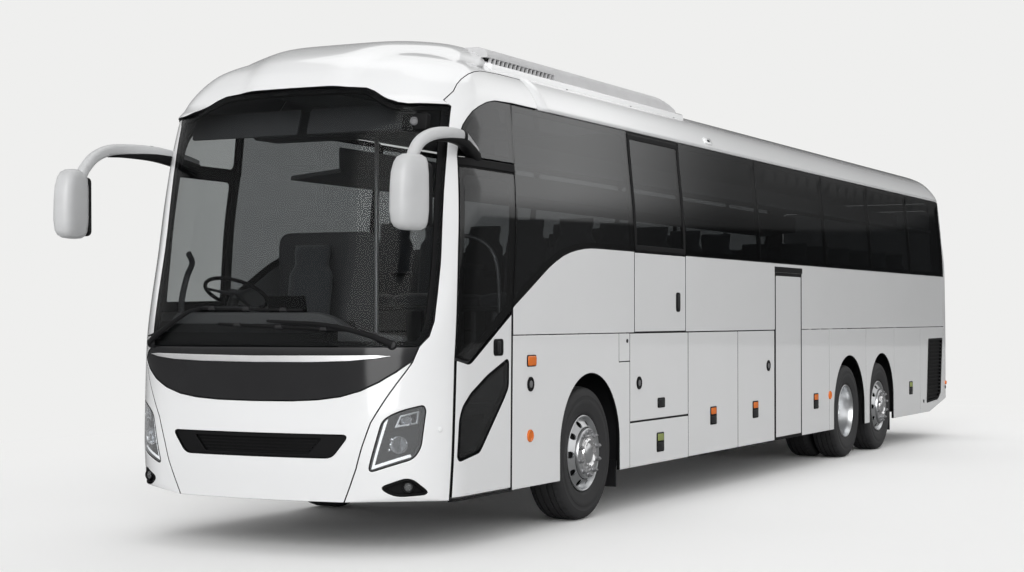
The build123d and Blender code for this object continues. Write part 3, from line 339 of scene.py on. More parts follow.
# %% Points on the skin
def skin_point(c, t, rear=False):
    """Points of the skin: c is the way round from the nose centre, or from the rear centre."""
    c, t = np.asarray(c, float), np.asarray(t, float)
    height, half, nose_r, nose_y, corner_r, corner_x, corner_y, lean, tail_r, tail_y, ends, total = outline(t)
    sign = np.where(c < 0, -1.0, 1.0)
    way = total - np.abs(c) if rear else np.abs(c)
    nose = way / nose_r
    turn = lean + (way - ends[0]) / corner_r
    tail = (way - ends[2]) / tail_r
    where = [way < ends[0], way < ends[1], way < ends[2], way < ends[3]]
    x = np.select(where, [nose_r * np.sin(nose), corner_x + corner_r * np.sin(turn), half,
        half - tail_r + tail_r * np.cos(tail)], half - tail_r - (way - ends[3]))
    y = np.select(where, [nose_y - nose_r * np.cos(nose), corner_y - corner_r * np.cos(turn),
        corner_y + way - ends[1], tail_y + tail_r * np.sin(tail)], tail_y + tail_r)
    return np.stack([sign * x, at(y), height], 1)


def skin(c, t, rear=False):
    """Points and outward normals of the skin."""
    h = 1e-4
    c, t = np.asarray(c, float), np.asarray(t, float)
    point = skin_point(c, t, rear)
    along_c = skin_point(c + h, t, rear) - skin_point(c - h, t, rear)
    along_t = skin_point(c, t + h, rear) - skin_point(c, t - h, rear)
    normal = np.cross(along_c, along_t) * (-1 if rear else 1)
    return point, normal / np.maximum(np.linalg.norm(normal, axis=1), 1e-12)[:, None]


T_TABLE = np.linspace(KNOTS[0], KNOTS[-1], 900)
Z_TABLE = level(T_TABLE)[0]


def t_of(z):
    """Parameter of the skin at this height."""
    return np.interp(z, Z_TABLE, T_TABLE)


def c_of(view, u, t):
    """Way round the skin of a point seen from the side (u is y), the front or the rear (u is x)."""
    u, t = np.asarray(u, float), np.asarray(t, float)
    _, half, nose_r, nose_y, corner_r, corner_x, corner_y, lean, tail_r, tail_y, ends, total = outline(t)
    if view == "side":
        corner = np.arccos(np.clip((corner_y - u) / corner_r, -1, 1))
        nose = np.arccos(np.clip((nose_y - u) / nose_r, -1, 1))
        tail = np.arcsin(np.clip((u - tail_y) / tail_r, -1, 1))
        front = np.where(corner >= lean, ends[0] + corner_r * (corner - lean), nose_r * nose)
        return np.where(u < corner_y, front, np.where(u > tail_y, ends[2] + tail_r * tail,
            ends[1] + u - corner_y))
    sign, x = np.where(u < 0, -1.0, 1.0), np.abs(u)
    if view == "front":
        on_nose = x <= nose_r * np.sin(lean)
        nose = nose_r * np.arcsin(np.clip(x / nose_r, -1, 1))
        corner = ends[0] + corner_r * (np.arcsin(np.clip((x - corner_x) / corner_r, -1, 1)) - lean)
        return sign * np.where(on_nose, nose, corner)
    flat = half - tail_r
    curved = ends[2] + tail_r * np.arccos(np.clip((x - flat) / tail_r, 0, 1))
    way = np.where(x <= flat, ends[3] + flat - x, curved)
    return sign * (total - way)


probe, _ = skin([0, 0], [0.7, 3.19])
print("nose at", probe.round(3).tolist())

# %% [markdown]
# Each panel is drawn as an outline in a side, front or rear view, laid on the skin, and filled with
# a constrained triangulation. Its edge rolls over and returns inward, as a pressed panel's does, so
# the gaps between panels are real. The normals of its face come from the skin itself, and so
# reflections run on from one panel to the next.

# %% Outlines on the skin
def finely(points, step, closed=True):
    """The outline with points no further apart than the step."""
    points = np.asarray(points, float)
    ends = np.roll(points, -1, 0) if closed else points[1:]
    out = []
    for start, end in zip(points, ends):
        count = max(1, math.ceil(np.linalg.norm(end - start) / step))
        out += [start + (end - start) * i / count for i in range(count)]
    return np.array(out if closed else out + [points[-1]])


def laid(view, points, side=1, step=0.04, closed=True):
    """An outline seen from the side, front or rear, as (c, t) on the skin."""
    points = finely(points, step, closed)
    t = t_of(points[:, 1])
    c = c_of(view, points[:, 0], t)
    return np.stack([c * side if view == "side" else c, t], 1)


def area_of(loop):
    x, y = loop[:, 0], loop[:, 1]
    return 0.5 * np.sum(x * np.roll(y, -1) - np.roll(x, -1) * y)


def facing_out(loop):
    """The closed loop, turned round if it runs the wrong way."""
    return loop if area_of(loop) > 0 else loop[::-1]


def inward(loop, distance):
    """The closed loop moved to its left, with mitred corners."""
    def left(run):
        run = run / np.maximum(np.linalg.norm(run, axis=1), 1e-9)[:, None]
        return np.stack([-run[:, 1], run[:, 0]], 1)
    before, after = left(loop - np.roll(loop, 1, 0)), left(np.roll(loop, -1, 0) - loop)
    share = np.maximum(1 + np.sum(before * after, 1), 0.35)[:, None]
    return loop + (before + after) / share * distance


def inside(points, loop):
    """Whether each point lies in the closed loop."""
    x, y = points[:, 0:1], points[:, 1:2]
    x0, y0 = loop[:, 0][None], loop[:, 1][None]
    x1, y1 = np.roll(loop[:, 0], -1)[None], np.roll(loop[:, 1], -1)[None]
    with np.errstate(divide="ignore", invalid="ignore"):
        crosses = ((y0 > y) != (y1 > y)) & (x < (x1 - x0) * (y - y0) / (y1 - y0) + x0)
    return crosses.sum(1) % 2 == 1


def between(points, rings):
    """Whether each point lies in the first loop and in none of the others."""
    keep = inside(points, rings[0])
    for ring in rings[1:]:
        keep &= ~inside(points, ring)
    return keep


def arch_points(middle, radius, height, low):
    """A wheel arch from its front foot over to its rear foot, seen from the side."""
    count = int(math.pi * radius / 0.05)
    turn = [math.pi * i / count for i in range(count + 1)]
    curve = [(middle - radius * math.cos(a), height + radius * math.sin(a)) for a in turn]
    return [(middle - radius, low)] + curve + [(middle + radius, low)]


# %% [markdown]
# A mesh is made from plain lists of points and faces, and then mended: its faces are turned to one
# side and loose points go. A piece is fixed to the body that carries it.

# %% Mesh and panel makers
def add_mesh(name, verts, faces, materials, slots=None):
    """An object from points and faces, with its materials and the faces' material numbers."""
    mesh = bpy.data.meshes.new(name)
    mesh.from_pydata([tuple(v) for v in verts], [], faces)
    for material in materials:
        mesh.materials.append(material)
    if slots is not None:
        mesh.polygons.foreach_set("material_index", slots)
    mesh.polygons.foreach_set("use_smooth", [True] * len(mesh.polygons))
    mesh.validate()
    mesh.update()
    made = bpy.data.objects.new(name, mesh)
    bpy.context.scene.collection.objects.link(made)
    return made


def mended(made, weld=0.0):
    """Join points nearer than the weld, turn the faces outward, and count the loose points removed."""
    shape = bmesh.new()
    shape.from_mesh(made.data)
    if weld:
        bmesh.ops.remove_doubles(shape, verts=shape.verts, dist=weld)
    bmesh.ops.recalc_face_normals(shape, faces=shape.faces)
    loose = [v for v in shape.verts if not v.link_faces]
    bmesh.ops.delete(shape, geom=loose, context="VERTS")
    shape.to_mesh(made.data)
    shape.free()
    return len(loose)


def fixed_to(made, body):
    """The piece, riding on its body."""
    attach(made, body)
    return made


print("mesh helpers ready")

# %% Panel maker
def formed(c, t, rear, form):
    """Skin points and normals, raised outward by form(c, t) where it is given."""
    point, normal = skin(c, t, rear)
    if form is None:
        return point, normal
    h = 2e-3

    def raised(c, t):
        point, normal = skin(c, t, rear)
        return point + normal * form(c, t)[:, None]

    lift = np.cross(raised(c + h, t) - raised(c - h, t), raised(c, t + h) - raised(c, t - h))
    lift *= -1 if rear else 1
    lift /= np.maximum(np.linalg.norm(lift, axis=1), 1e-12)[:, None]
    return raised(c, t), lift


def panel(name, loops, body="coach", slot="paint", rear=False, thick=0.03, depth=0.0, gap=0.003, roll=0.005,
        grid=(0.2, 0.08), form=None, materials=None):
    """A closed panel on the skin: its first loop is the outline and the others are holes."""
    materials = (*(materials or (WHITE, CABIN)), SEAL)
    turned = []
    for index, loop in enumerate(loops):
        turned.append(loop if (area_of(loop) > 0) == (index == 0) else loop[::-1])
    rings = [inward(loop, gap + roll) for loop in turned]
    low, high = rings[0].min(0), rings[0].max(0)
    counts = [max(2, math.ceil((high[k] - low[k]) / grid[k])) for k in (0, 1)]
    lines = [np.linspace(low[k], high[k], counts[k] + 1)[1:-1] for k in (0, 1)]
    spots = np.array([(c, t) for c in lines[0] for t in lines[1]]).reshape(-1, 2)
    edge_points = np.concatenate(rings)
    spots = spots[between(spots, rings)]
    if len(spots):
        near = np.array([np.min(np.hypot(*(edge_points - spot).T)) for spot in spots])
        spots = spots[near > 0.4 * min(grid)]
    flat = np.concatenate([edge_points, spots])
    edges, first = [], 0
    for ring in rings:
        edges += [(first + i, first + (i + 1) % len(ring)) for i in range(len(ring))]
        first += len(ring)
    done = geometry.delaunay_2d_cdt([Vector(p) for p in flat], edges, [], 0, 1e-7)
    flat_out = np.array([tuple(v) for v in done[0]])
    place = {old: new for new, olds in enumerate(done[3]) for old in olds}
    triangles = np.array(done[2])
    triangles = triangles[between(flat_out[triangles].mean(1), rings)]

    def at_depth(flat, distance):
        point, normal = formed(flat[:, 0], flat[:, 1], rear, form)
        return point - normal * (depth + distance), normal

    top, top_normal = at_depth(flat_out, 0)
    back, _ = at_depth(flat_out, thick)
    count = len(flat_out)
    verts, normals = [top, back], [top_normal, np.zeros_like(back)]
    faces = [tuple(tri) for tri in triangles] + [tuple(tri[::-1] + count) for tri in triangles]
    slots = [0] * len(triangles) + [1] * len(triangles)
    base, first = 2 * count, 0
    for loop, ring in zip(turned, rings):
        n = len(ring)
        for share, distance in ((0.3, 0.3 * roll), (0.0, roll), (0.0, thick)):
            point, _ = at_depth(inward(loop, gap + share * roll), distance)
            verts.append(point)
            normals.append(np.zeros_like(point))
        front = [place[first + i] for i in range(n)]
        rows = [front] + [list(range(base + k * n, base + (k + 1) * n)) for k in range(3)]
        rows.append([i + count for i in front])
        for near, far in zip(rows, rows[1:]):
            faces += [(near[i], far[i], far[(i + 1) % n], near[(i + 1) % n]) for i in range(n)]
        slots += [0] * n + [2] * (3 * n)
        base, first = base + 3 * n, first + n
    made = add_mesh(name, np.concatenate(verts), faces, materials, slots)
    if mended(made) == 0:
        made.data.normals_split_custom_set_from_vertices([tuple(n) for n in np.concatenate(normals)])
    return fixed_to(made, body)


def black_panel(name, loops, body="coach", grid=(5, 5), **options):
    """A panel of black rubber or plastic, with no inner points unless a finer grid is asked for."""
    return panel(name, loops, body, "dark_plastic", materials=(SEAL, SEAL), grid=grid, **options)


def backing(name, loops, depth, grid, rear=False):
    """A thin black sheet that closes an opening behind lamps or slats."""
    return black_panel(name, loops, thick=0.006, depth=depth, gap=0.001, roll=0.001, grid=grid, rear=rear)


print("panel maker ready")

# %% [markdown]
# The front is one painted bumper, an apron of dark plastic under the windscreen, and on each side
# a corner that runs up as the windscreen pillar and over the small quarter window. The pillar's
# outline mixes a front view and a side view, because it wraps round the corner of the body.

# %% Outlines of the front
def rounded(points, radius, steps=5):
    """The closed outline with its corners cut by arcs of this radius or less."""
    points = [Vector(p) for p in points]
    out = []
    for index, corner in enumerate(points):
        before, after = points[index - 1] - corner, points[(index + 1) % len(points)] - corner
        reach = min(radius, 0.45 * before.length, 0.45 * after.length)
        start, end = corner + before.normalized() * reach, corner + after.normalized() * reach
        for k in range(steps + 1):
            u = k / steps
            spot = start * (1 - u) ** 2 + corner * (2 * u * (1 - u)) + end * u * u
            out.append((spot.x, spot.y))
    return out


def block(start, end, low, high):
    """A rectangle from its two ends and its two heights."""
    return [(start, low), (end, low), (end, high), (start, high)]


def taper(foot, head, low, high):
    """A symmetric outline whose half width goes from the foot's to the head's."""
    return [(-foot, low), (foot, low), (head, high), (-head, high)]


def rounded_box(half_x, half_z, radius):
    """A rounded rectangle round the origin."""
    return rounded(block(-half_x, half_x, -half_z, half_z), radius)


def mirrored_x(points, side):
    """Points drawn on +X, put on either side."""
    return [(side * x, z) for x, z in points]


def both(half):
    """A closed outline from its half on +X."""
    return list(half) + [(-x, z) for x, z in reversed(half) if x > 0]


print("outline helpers ready")

# %% Seams of the front
SILL = SKIRT + 0.005
APRON_EDGE = [(0, 1.02), (0.3, 1.023), (0.5, 1.034), (0.66, 1.056), (0.8, 1.096), (0.92, 1.154),
    (1.02, 1.222), (1.075, 1.27), (1.108, 1.3)]
SCREEN_SIDE = [(1.135, 1.392), (1.176, 1.46), (1.192, 1.56), (1.194, 1.75), (1.192, 1.95), (1.183, 2.2),
    (1.166, 2.7), (1.15, 2.98)]
SCREEN_TOP = [(1.147, 3.036), (1.132, 3.044), (0.93, 3.036), (0.87, 3.044), (0.794, 3.072), (0.66, 3.15),
    (0.592, 3.176), (0.5, 3.184), (0, 3.193)]
FAR_SIDE = [(0.975, 1.385), (0.985, 1.48), (0.985, 1.75), (0.985, 1.95), (0.985, 2.2), (0.985, 2.7),
    (0.992, 2.98)]
FAR_TOP = [(1.019, 3.026), (1.006, 3.038), (0.93, 3.036)] + SCREEN_TOP[3:]
SEAM = [(1.104, 1.286), (1.07, 1.222), (0.96, 1.04), (0.87, 0.884), (0.812, 0.72), (0.77, 0.577),
    (0.72, 0.455), (0.672, SILL)]
INTAKE = taper(0.6, 0.722, 0.645, 0.8)
LAMP = [(0.945, 0.905), (1.04, 0.962), (1.16, 0.999), (1.17, 0.965), (1.15, 0.717), (1.115, 0.643),
    (0.85, 0.55)]
FOG = [(0.915, 0.452), (1.094, 0.522), (1.188, 0.404), (1.01, 0.392)]
DOOR_FRONT = [(-2.226, SILL), (-2.18, 1.3), (-2.04, 2.64)]
DOOR_REAR = [(-1.345, SILL), (-1.322, 1.7), (-1.238, 2.64)]
QUARTER_TOP = [(-1.206, 3.144), (-1.467, 3.134), (-1.6, 3.108), (-1.727, 3.064), (-1.82, 3.022),
    (-1.893, 2.968), (-1.945, 2.918), (-1.983, 2.86), (-2.005, 2.79)]
DOME_SEAM = [(1.185, 3.08), (1.232, 3.154), (1.24, 3.215), (1.263, 3.266), (1.31, 3.322), (1.379, 3.362),
    (1.473, 3.394), (1.62, 3.41), (1.789, 3.418)]
RAIL_T = 3.42
CAP_SEAM = -0.755


def chain(*runs):
    """Open runs on the skin joined to one closed loop, without doubled points."""
    points = np.concatenate(runs)
    keep = [i for i in range(len(points)) if np.linalg.norm(points[i] - points[i - 1]) > 1e-5]
    return points[keep]


def wrapped(points, side):
    """Points given as (c, t) for the left side, on either side."""
    return np.array([(side * c, t) for c, t in points])


def across(view, points, side):
    """An open run in a view on either side of the coach."""
    if view == "front":
        return laid("front", mirrored_x(points, side), closed=False)
    return laid("side", points, side, closed=False)


print("seam points:", len(SEAM) + len(DOME_SEAM))

# %% [markdown]
# The bumper, the corners and the apron meet along shared seams, so their outlines are put together
# from the same runs of points. The gaps between them then have one width all along.

# %% Bumper, corners with pillars, apron
bumper_half = [(0, SILL)] + SEAM[::-1] + APRON_EDGE[::-1]
bumper_edge = laid("front", both(bumper_half))
bumper = panel("bumper", [bumper_edge, laid("front", rounded(INTAKE, 0.05))], grid=(0.1, 0.06))
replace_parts(bumper, "front_mask")

NEAR_RUN = SCREEN_SIDE + SCREEN_TOP[:1]
FAR_RUN = [(1.06, 1.345)] + FAR_SIDE + FAR_TOP[:2] + [(1.132, 3.044)]
rail_end = float(c_of("side", CAP_SEAM, np.array([RAIL_T]))[0])
for side, hand in HANDS:
    edge = chain(
        across("front", SEAM[::-1] + [(1.108, 1.3)] + (NEAR_RUN if side > 0 else FAR_RUN), side),
        wrapped(DOME_SEAM + [(rail_end, RAIL_T)], side),
        across("side", [(CAP_SEAM, 3.37), (CAP_SEAM, 3.144)] + QUARTER_TOP + [(-2.035, 2.7)]
            + DOOR_FRONT[::-1], side),
    )
    lamp = laid("front", mirrored_x(rounded(LAMP, 0.05), side))
    fog = laid("front", mirrored_x(rounded(FOG, 0.05), side))
    panel(f"corner_{hand}", [edge, lamp, fog], grid=(0.08, 0.06))

apron_run = APRON_EDGE + SCREEN_SIDE[:1] + [(0, 1.386)]
far_run = APRON_EDGE + [(1.06, 1.345), (1.0, 1.385)]
apron_edge = laid("front", apron_run[:-1] + [(-x, z) for x, z in far_run[::-1] if x > 0])
apron = panel("apron", [apron_edge], slot="dark_plastic", materials=(APRON, CABIN), depth=0.004,
    grid=(0.1, 0.06))
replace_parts(apron, "apron_panel")
print("front panels made")

# %% [markdown]
# The sides are hung panels with luggage flaps between them. Left and right share most outlines, so
# one table gives each panel's name and its outline seen from the side.

# %% Outlines of the side
SWEEP = [(-1.323, 1.655), (-1.283, 1.679), (-1.15, 1.744), (-1.001, 1.819), (-0.85, 1.896), (-0.708, 1.966),
    (-0.59, 2.013), (-0.465, 2.057), (-0.34, 2.086), (-0.214, 2.107), (-0.08, 2.122), (0.045, 2.13),
    (0.2, 2.132)]
FLAP_1, FLAP_2, FLAP_3, FLAP_END = 0.812, 2.131, 3.431, 4.512
EXIT_FRONT, EXIT_REAR, EXIT_TOP = 0.909, 2.075, 3.125
MID_FRONT, MID_REAR, MID_TOP = 4.53, 5.4, 2.035
TAIL_SEAM = 11.6
RISE = [(10.85, SILL), (TAIL_SEAM, 0.467)]
FRONT_ARCH = (0.035, 0.566, 0.58)
DRIVE_ARCH = (DRIVE - 0.01, 0.61, 0.54)
TAG_ARCH = (TAG - 0.005, 0.535, 0.615)
FLAP_GAP, LEAF_GAP, SEAM_GAP, MID_GAP = 0.0055, 0.009, 0.0025, 0.03


FUEL = block(0.59, FLAP_1, 1.224, BELT)
GRILLE = [(10.784, 1.301), (11.544, 1.302), (11.44, 0.568), (11.292, 0.492), (10.685, 0.468)]
SHARED = {
    "wing_front": [(-1.323, BELT), (EXIT_FRONT, BELT), (EXIT_FRONT, WAIST)] + SWEEP[::-1],
    "lower_front": [(-1.345, SILL)] + arch_points(*FRONT_ARCH, SILL) + [(FLAP_1, SILL), (FLAP_1, 1.224),
                   (0.59, 1.224), (0.59, BELT), (-1.328, BELT)],
    "fuel_flap": FUEL,
    "sill_front": block(FLAP_1, FLAP_2, SILL, 0.716),
    "lower_middle": block(MID_REAR, 6.382, SILL, BELT),
    "lower_drive": [(6.382, SILL)] + arch_points(*DRIVE_ARCH, SILL) + [(7.836, SILL), (7.836, BELT),
        (6.382, BELT)],
    "lower_tag": [(7.836, SILL)] + arch_points(*TAG_ARCH, SILL) + [(9.081, SILL), (9.081, BELT),
        (7.836, BELT)],
    "lower_engine": block(9.081, 10.363, SILL, BELT),
    "lower_tail": [(10.363, SILL)] + RISE + [(TAIL_SEAM, BELT), (10.363, BELT)],
}
LEFT_ONLY = {
    "wing_rear": [(EXIT_REAR, BELT), (MID_FRONT, BELT), (MID_FRONT, MID_TOP), (MID_REAR, MID_TOP),
                  (MID_REAR, BELT), (TAIL_SEAM, BELT), (TAIL_SEAM, WAIST), (EXIT_REAR, WAIST)],
}
RIGHT_ONLY = {
    "wing_middle": block(EXIT_FRONT, EXIT_REAR, BELT, WAIST),
    "wing_rear": block(EXIT_REAR, TAIL_SEAM, BELT, WAIST),
    "cab_side": [(-2.226, SILL), (-1.345, SILL), (-1.328, BELT), (-1.323, 1.655), (-2.15, 1.64),
        (-2.18, 1.3)],
    "flap_post": block(FLAP_END + 0.006, MID_REAR, SILL, BELT),
}
FLAPS = {"1": block(FLAP_1, FLAP_2, 0.722, BELT), "2": block(FLAP_2, FLAP_3, SILL, BELT),
    "3": block(FLAP_3, FLAP_END, SILL, BELT)}

for side, hand in HANDS:
    for name, shape in {**SHARED, **(LEFT_ONLY if side > 0 else RIGHT_ONLY)}.items():
        loops = [laid("side", shape, side)]
        if name == "lower_tail":
            loops.append(laid("side", rounded(GRILLE, 0.03), side))
        made = panel(f"{name}_{hand}", loops, gap=SEAM_GAP, grid=(0.3, 0.1))
        if name == "wing_front":
            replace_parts(made, f"side_wall_{hand}")
    for number, shape in FLAPS.items():
        flap = panel(f"flap_{hand}_{number}", [laid("side", shape, side)], f"flap_{hand}_{number}_body",
            gap=FLAP_GAP, grid=(0.3, 0.12))
        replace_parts(flap, f"luggage_flap_{hand}_{number}")
exit_low = panel("exit_door_lower", [laid("side", block(EXIT_FRONT, EXIT_REAR, BELT, WAIST))],
    "emergency_door_body", gap=LEAF_GAP, grid=(0.3, 0.1))
mid_leaf = panel("mid_door_leaf", [laid("side", block(MID_FRONT, MID_REAR, SILL, MID_TOP))],
    "mid_door_body", gap=MID_GAP, grid=(0.3, 0.1))
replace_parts(mid_leaf, "mid_door")
print("side panels made")

# %% [markdown]
# The glazing is bonded over one dark band, so the posts between the panes hardly show. A dark frame
# panel lies behind the glass with a hole for each pane, and thin panes with their own joints lie on
# top, flush with the paint.

# %% Window band and panes
PANE_TOP = 3.136
MULLIONS = [2.075, 4.1, 6.3, 8.1, 9.9, TAIL_SEAM]


def inset(points, distance):
    """A closed outline moved inward in its own view."""
    return [tuple(p) for p in inward(facing_out(np.array(points, float)), distance)]


first_pane = SWEEP + [(EXIT_FRONT, WAIST), (EXIT_FRONT, PANE_TOP), (-1.206, PANE_TOP), (-1.235, 2.7)]
side_panes = [first_pane] + [block(a, b, WAIST, PANE_TOP) for a, b in zip(MULLIONS, MULLIONS[1:])]
exit_pane = block(EXIT_FRONT, EXIT_REAR, WAIST, EXIT_TOP)
FRIT = 0.045


def glazing(name, outlines, side, body="coach", view="side", gap=0.003, glass=SIDE_GLASS, frit=FRIT):
    """Panes with the dark band behind their edges, each made as a piece of its own."""
    made = []
    for index, points in enumerate(outlines):
        made.append(panel(f"{name}_pane_{index}", [laid(view, points, side)], body, "glass", thick=0.006,
            gap=gap, roll=0.0015, grid=(0.4, 0.12), materials=(glass, glass)))
        band = [laid(view, points, side), laid(view, rounded(inset(points, frit), 0.05), side)]
        black_panel(f"{name}_band_{index}", band, body, thick=0.02, depth=0.0075, gap=0.0005, roll=0.002,
            grid=(0.5, 0.5))
    return made


side_left = glazing("side_glass_left", side_panes, 1)
side_right = glazing("side_glass_right", side_panes[:1] + [exit_pane] + side_panes[1:], -1)
exit_glass = glazing("exit_glass", [exit_pane], 1, "emergency_door_body", gap=LEAF_GAP)
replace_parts(side_left[0], "side_glass_left")
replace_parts(side_right[0], "side_glass_right")
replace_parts(exit_glass[0], "emergency_door_glass")
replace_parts(exit_low, "emergency_door")

QUARTER = [(-1.209, 2.7), (-1.209, 3.138)] + QUARTER_TOP[1:] + [(-2.035, 2.7)]
SCREEN = [(0, 1.392)] + SCREEN_SIDE + SCREEN_TOP + [(-x, z) for x, z in FAR_TOP[::-1] + FAR_SIDE[::-1]
    if x > 0]
quarters = glazing("quarter_left", [QUARTER], 1) + glazing("quarter_right", [QUARTER], -1,
    glass=SCREEN_GLASS)
CAB_WINDOW = [(-2.145, 1.65), (-2.035, 2.69), (-1.232, 2.69), (-1.323, 1.665)]
glazing("cab_window", [CAB_WINDOW], -1, frit=0.05, glass=SCREEN_GLASS)
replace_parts(quarters[0], "quarter_glass")
screen = glazing("screen", [SCREEN], 1, view="front", glass=SCREEN_GLASS, frit=0.035)[0]
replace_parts(screen, "windscreen")

# %% [markdown]
# The roof is a plain run of sections, so it is built as a grid: one row per height parameter, each
# going back along the side, round the rear corner and in to the middle of the rear.

# %% Roof and rear
def grid_shell(name, rows, thick, materials):
    """A closed shell from rows of points that face outward, with its inner side set in."""
    outer = np.array(rows)
    across_rows = np.gradient(outer, axis=0)
    along_rows = np.gradient(outer, axis=1)
    normal = np.cross(along_rows, across_rows)
    normal /= np.maximum(np.linalg.norm(normal, axis=2), 1e-9)[:, :, None]
    inner = outer - normal * thick
    m, n = outer.shape[:2]
    verts = np.concatenate([outer.reshape(-1, 3), inner.reshape(-1, 3)])
    faces, slots = [], []
    for i in range(m - 1):
        for j in range(n - 1):
            a, b = i * n + j, i * n + j + 1
            faces += [(a, b, b + n, a + n), (m * n + a, m * n + a + n, m * n + b + n, m * n + b)]
            slots += [0, 1]
    rim = list(range(n)) + [i * n + n - 1 for i in range(1, m)]
    rim += [(m - 1) * n + j for j in range(n - 2, -1, -1)] + [i * n for i in range(m - 2, 0, -1)]
    for a, b in zip(rim, rim[1:] + rim[:1]):
        faces.append((a, m * n + a, m * n + b, b))
        slots.append(0)
    return fixed_to(add_mesh(name, verts, faces, materials, slots), "coach")


def roof_row(t, side):
    """One row of the roof: from the cap seam back, round the corner and in to the middle."""
    one = np.array([t])
    *_, ends, total = outline(one)
    start = float(c_of("side", np.array([CAP_SEAM + 0.003]), one)[0])
    way = np.concatenate([np.linspace(start, float(ends[2][0]), 60)[:-1], np.linspace(float(ends[2][0]),
        float(ends[3][0]), 9)[:-1], np.linspace(float(ends[3][0]), float(total[0]) - 1e-4, 10)])
    return skin_point(side * way, np.full(len(way), t))


roof_ts = np.concatenate([np.linspace(3.146, 3.46, 9), np.linspace(3.5, 4.497, 16)])
roof_rows = [roof_row(t, 1) for t in roof_ts] + [roof_row(t, -1) for t in roof_ts[::-1]]
roof = grid_shell("roof_panel", roof_rows, 0.03, (WHITE, CABIN))
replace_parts(roof, "roof")


def rear_way(y, t):
    """Way round from the rear centre of a place on the side."""
    one = np.array([t])
    return float(outline(one)[-1][0] - c_of("side", np.array([y]), one)[0])


LID_HALF, LID_LOW, LID_HIGH = 0.92, 0.56, 1.42
REAR_PANE = taper(1.06, 1.04, 2.16, 3.04)
TAIL_LAMP = block(1.03, 1.165, 0.76, 1.56)
lid = block(-LID_HALF, LID_HALF, LID_LOW, LID_HIGH)
low_corner = [(rear_way(TAIL_SEAM, 0.467), 0.467), (rear_way(11.8, 0.505), 0.505), (1.02, 0.515)]
side_corner = [(rear_way(TAIL_SEAM, t), t) for t in (0.9, 1.5, 2.132, 2.6, 3.0, 3.138)]
rear_half = low_corner[::-1] + side_corner
rear_loop = rear_half + [(-c, t) for c, t in rear_half[::-1]]
rear_loops = [finely(rear_loop, 0.05), laid("rear", lid), laid("rear", rounded(REAR_PANE, 0.08))]
rear_loops += [laid("rear", mirrored_x(rounded(TAIL_LAMP, 0.03), side)) for side in (1, -1)]
rear = panel("rear_panel", rear_loops, rear=True, grid=(0.12, 0.08), gap=SEAM_GAP)
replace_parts(rear, "rear_wall")
lid_panel = panel("engine_lid_panel", [laid("rear", lid)], "engine_lid_body", rear=True, gap=LEAF_GAP)
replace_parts(lid_panel, "engine_lid")
rear_window = panel("rear_window", [laid("rear", rounded(REAR_PANE, 0.08))], slot="glass", rear=True,
    thick=0.006, roll=0.0015, materials=(TAIL_GLASS, TAIL_GLASS))
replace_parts(rear_window, "rear_glass")
print("roof and rear made")

# %% [markdown]
# The dome over the windscreen is the body form raised to a height field: a falling line seen from
# the side and a line that drops at its shoulders seen from the front, blended where they meet.

# %% Dome
FALL = np.array([(-2.36, 3.1), (-2.33, 3.15), (-2.27, 3.215), (-2.15, 3.355), (-1.96, 3.483), (-1.7, 3.578),
    (-1.4, 3.634), (-1.18, 3.65), (-1.135, 3.6), (-1.08, 3.5), (-0.7, 3.3)])
SHOULDER = np.array([(0, 3.652), (0.42, 3.648), (0.64, 3.622), (0.8, 3.574), (0.9, 3.512), (0.96, 3.44),
    (1.03, 3.33), (1.1, 3.2), (1.3, 2.9)])
DOME_BOW = 0.75                    # how fast the dome's front line moves back towards its sides
DOME_BACK = [(-0.82, 3.52), (-1.06, 3.6), (-1.08, 3.9), (-1.09, 4.2), (-1.1, 4.38)]


def smooth_line(points, x):
    """A smooth curve through points with rising first values."""
    knots, rows = points[:, 0], points[:, 1:]
    return cubic(knots, rows, tangents_of(knots, rows), x)[:, 0]


def soft_rise(value, width):
    """The positive part of a value, with its corner rounded over this width."""
    return width * np.logaddexp(0, value / width)


def dome_form(c, t):
    point, normal = skin(c, t)
    drawn_back = DOME_BOW * soft_rise(np.abs(point[:, 0]) - 0.4, 0.05)
    fall = smooth_line(FALL, point[:, 1] - FRONT_AXLE - drawn_back)
    shoulder = smooth_line(SHOULDER, np.abs(point[:, 0]))
    height = shoulder - soft_rise(shoulder - fall, 0.018)
    return soft_rise(height - point[:, 2], 0.01) * np.clip(normal[:, 2], 0, 1)


def dome_half(side):
    """The dome's edge from the windscreen's top centre round one side to its middle at the back."""
    back = [(float(c_of("side", np.array([y]), np.array([t]))[0]), t) for y, t in DOME_BACK]
    return chain(across("front", SCREEN_TOP[::-1], side), wrapped(DOME_SEAM + [(rail_end, RAIL_T)] + back,
        side))


dome_edge = chain(dome_half(1), np.array([(0.0, 4.43)]), dome_half(-1)[:0:-1])
dome = panel("dome", [dome_edge], grid=(0.05, 0.035), form=dome_form)
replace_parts(dome, "front_cap")

# %% [markdown]
# Turned, swept and plate shapes are gathered in a `Kit`, which joins them to one mesh with sharp
# edges kept where two faces meet at a steep angle.

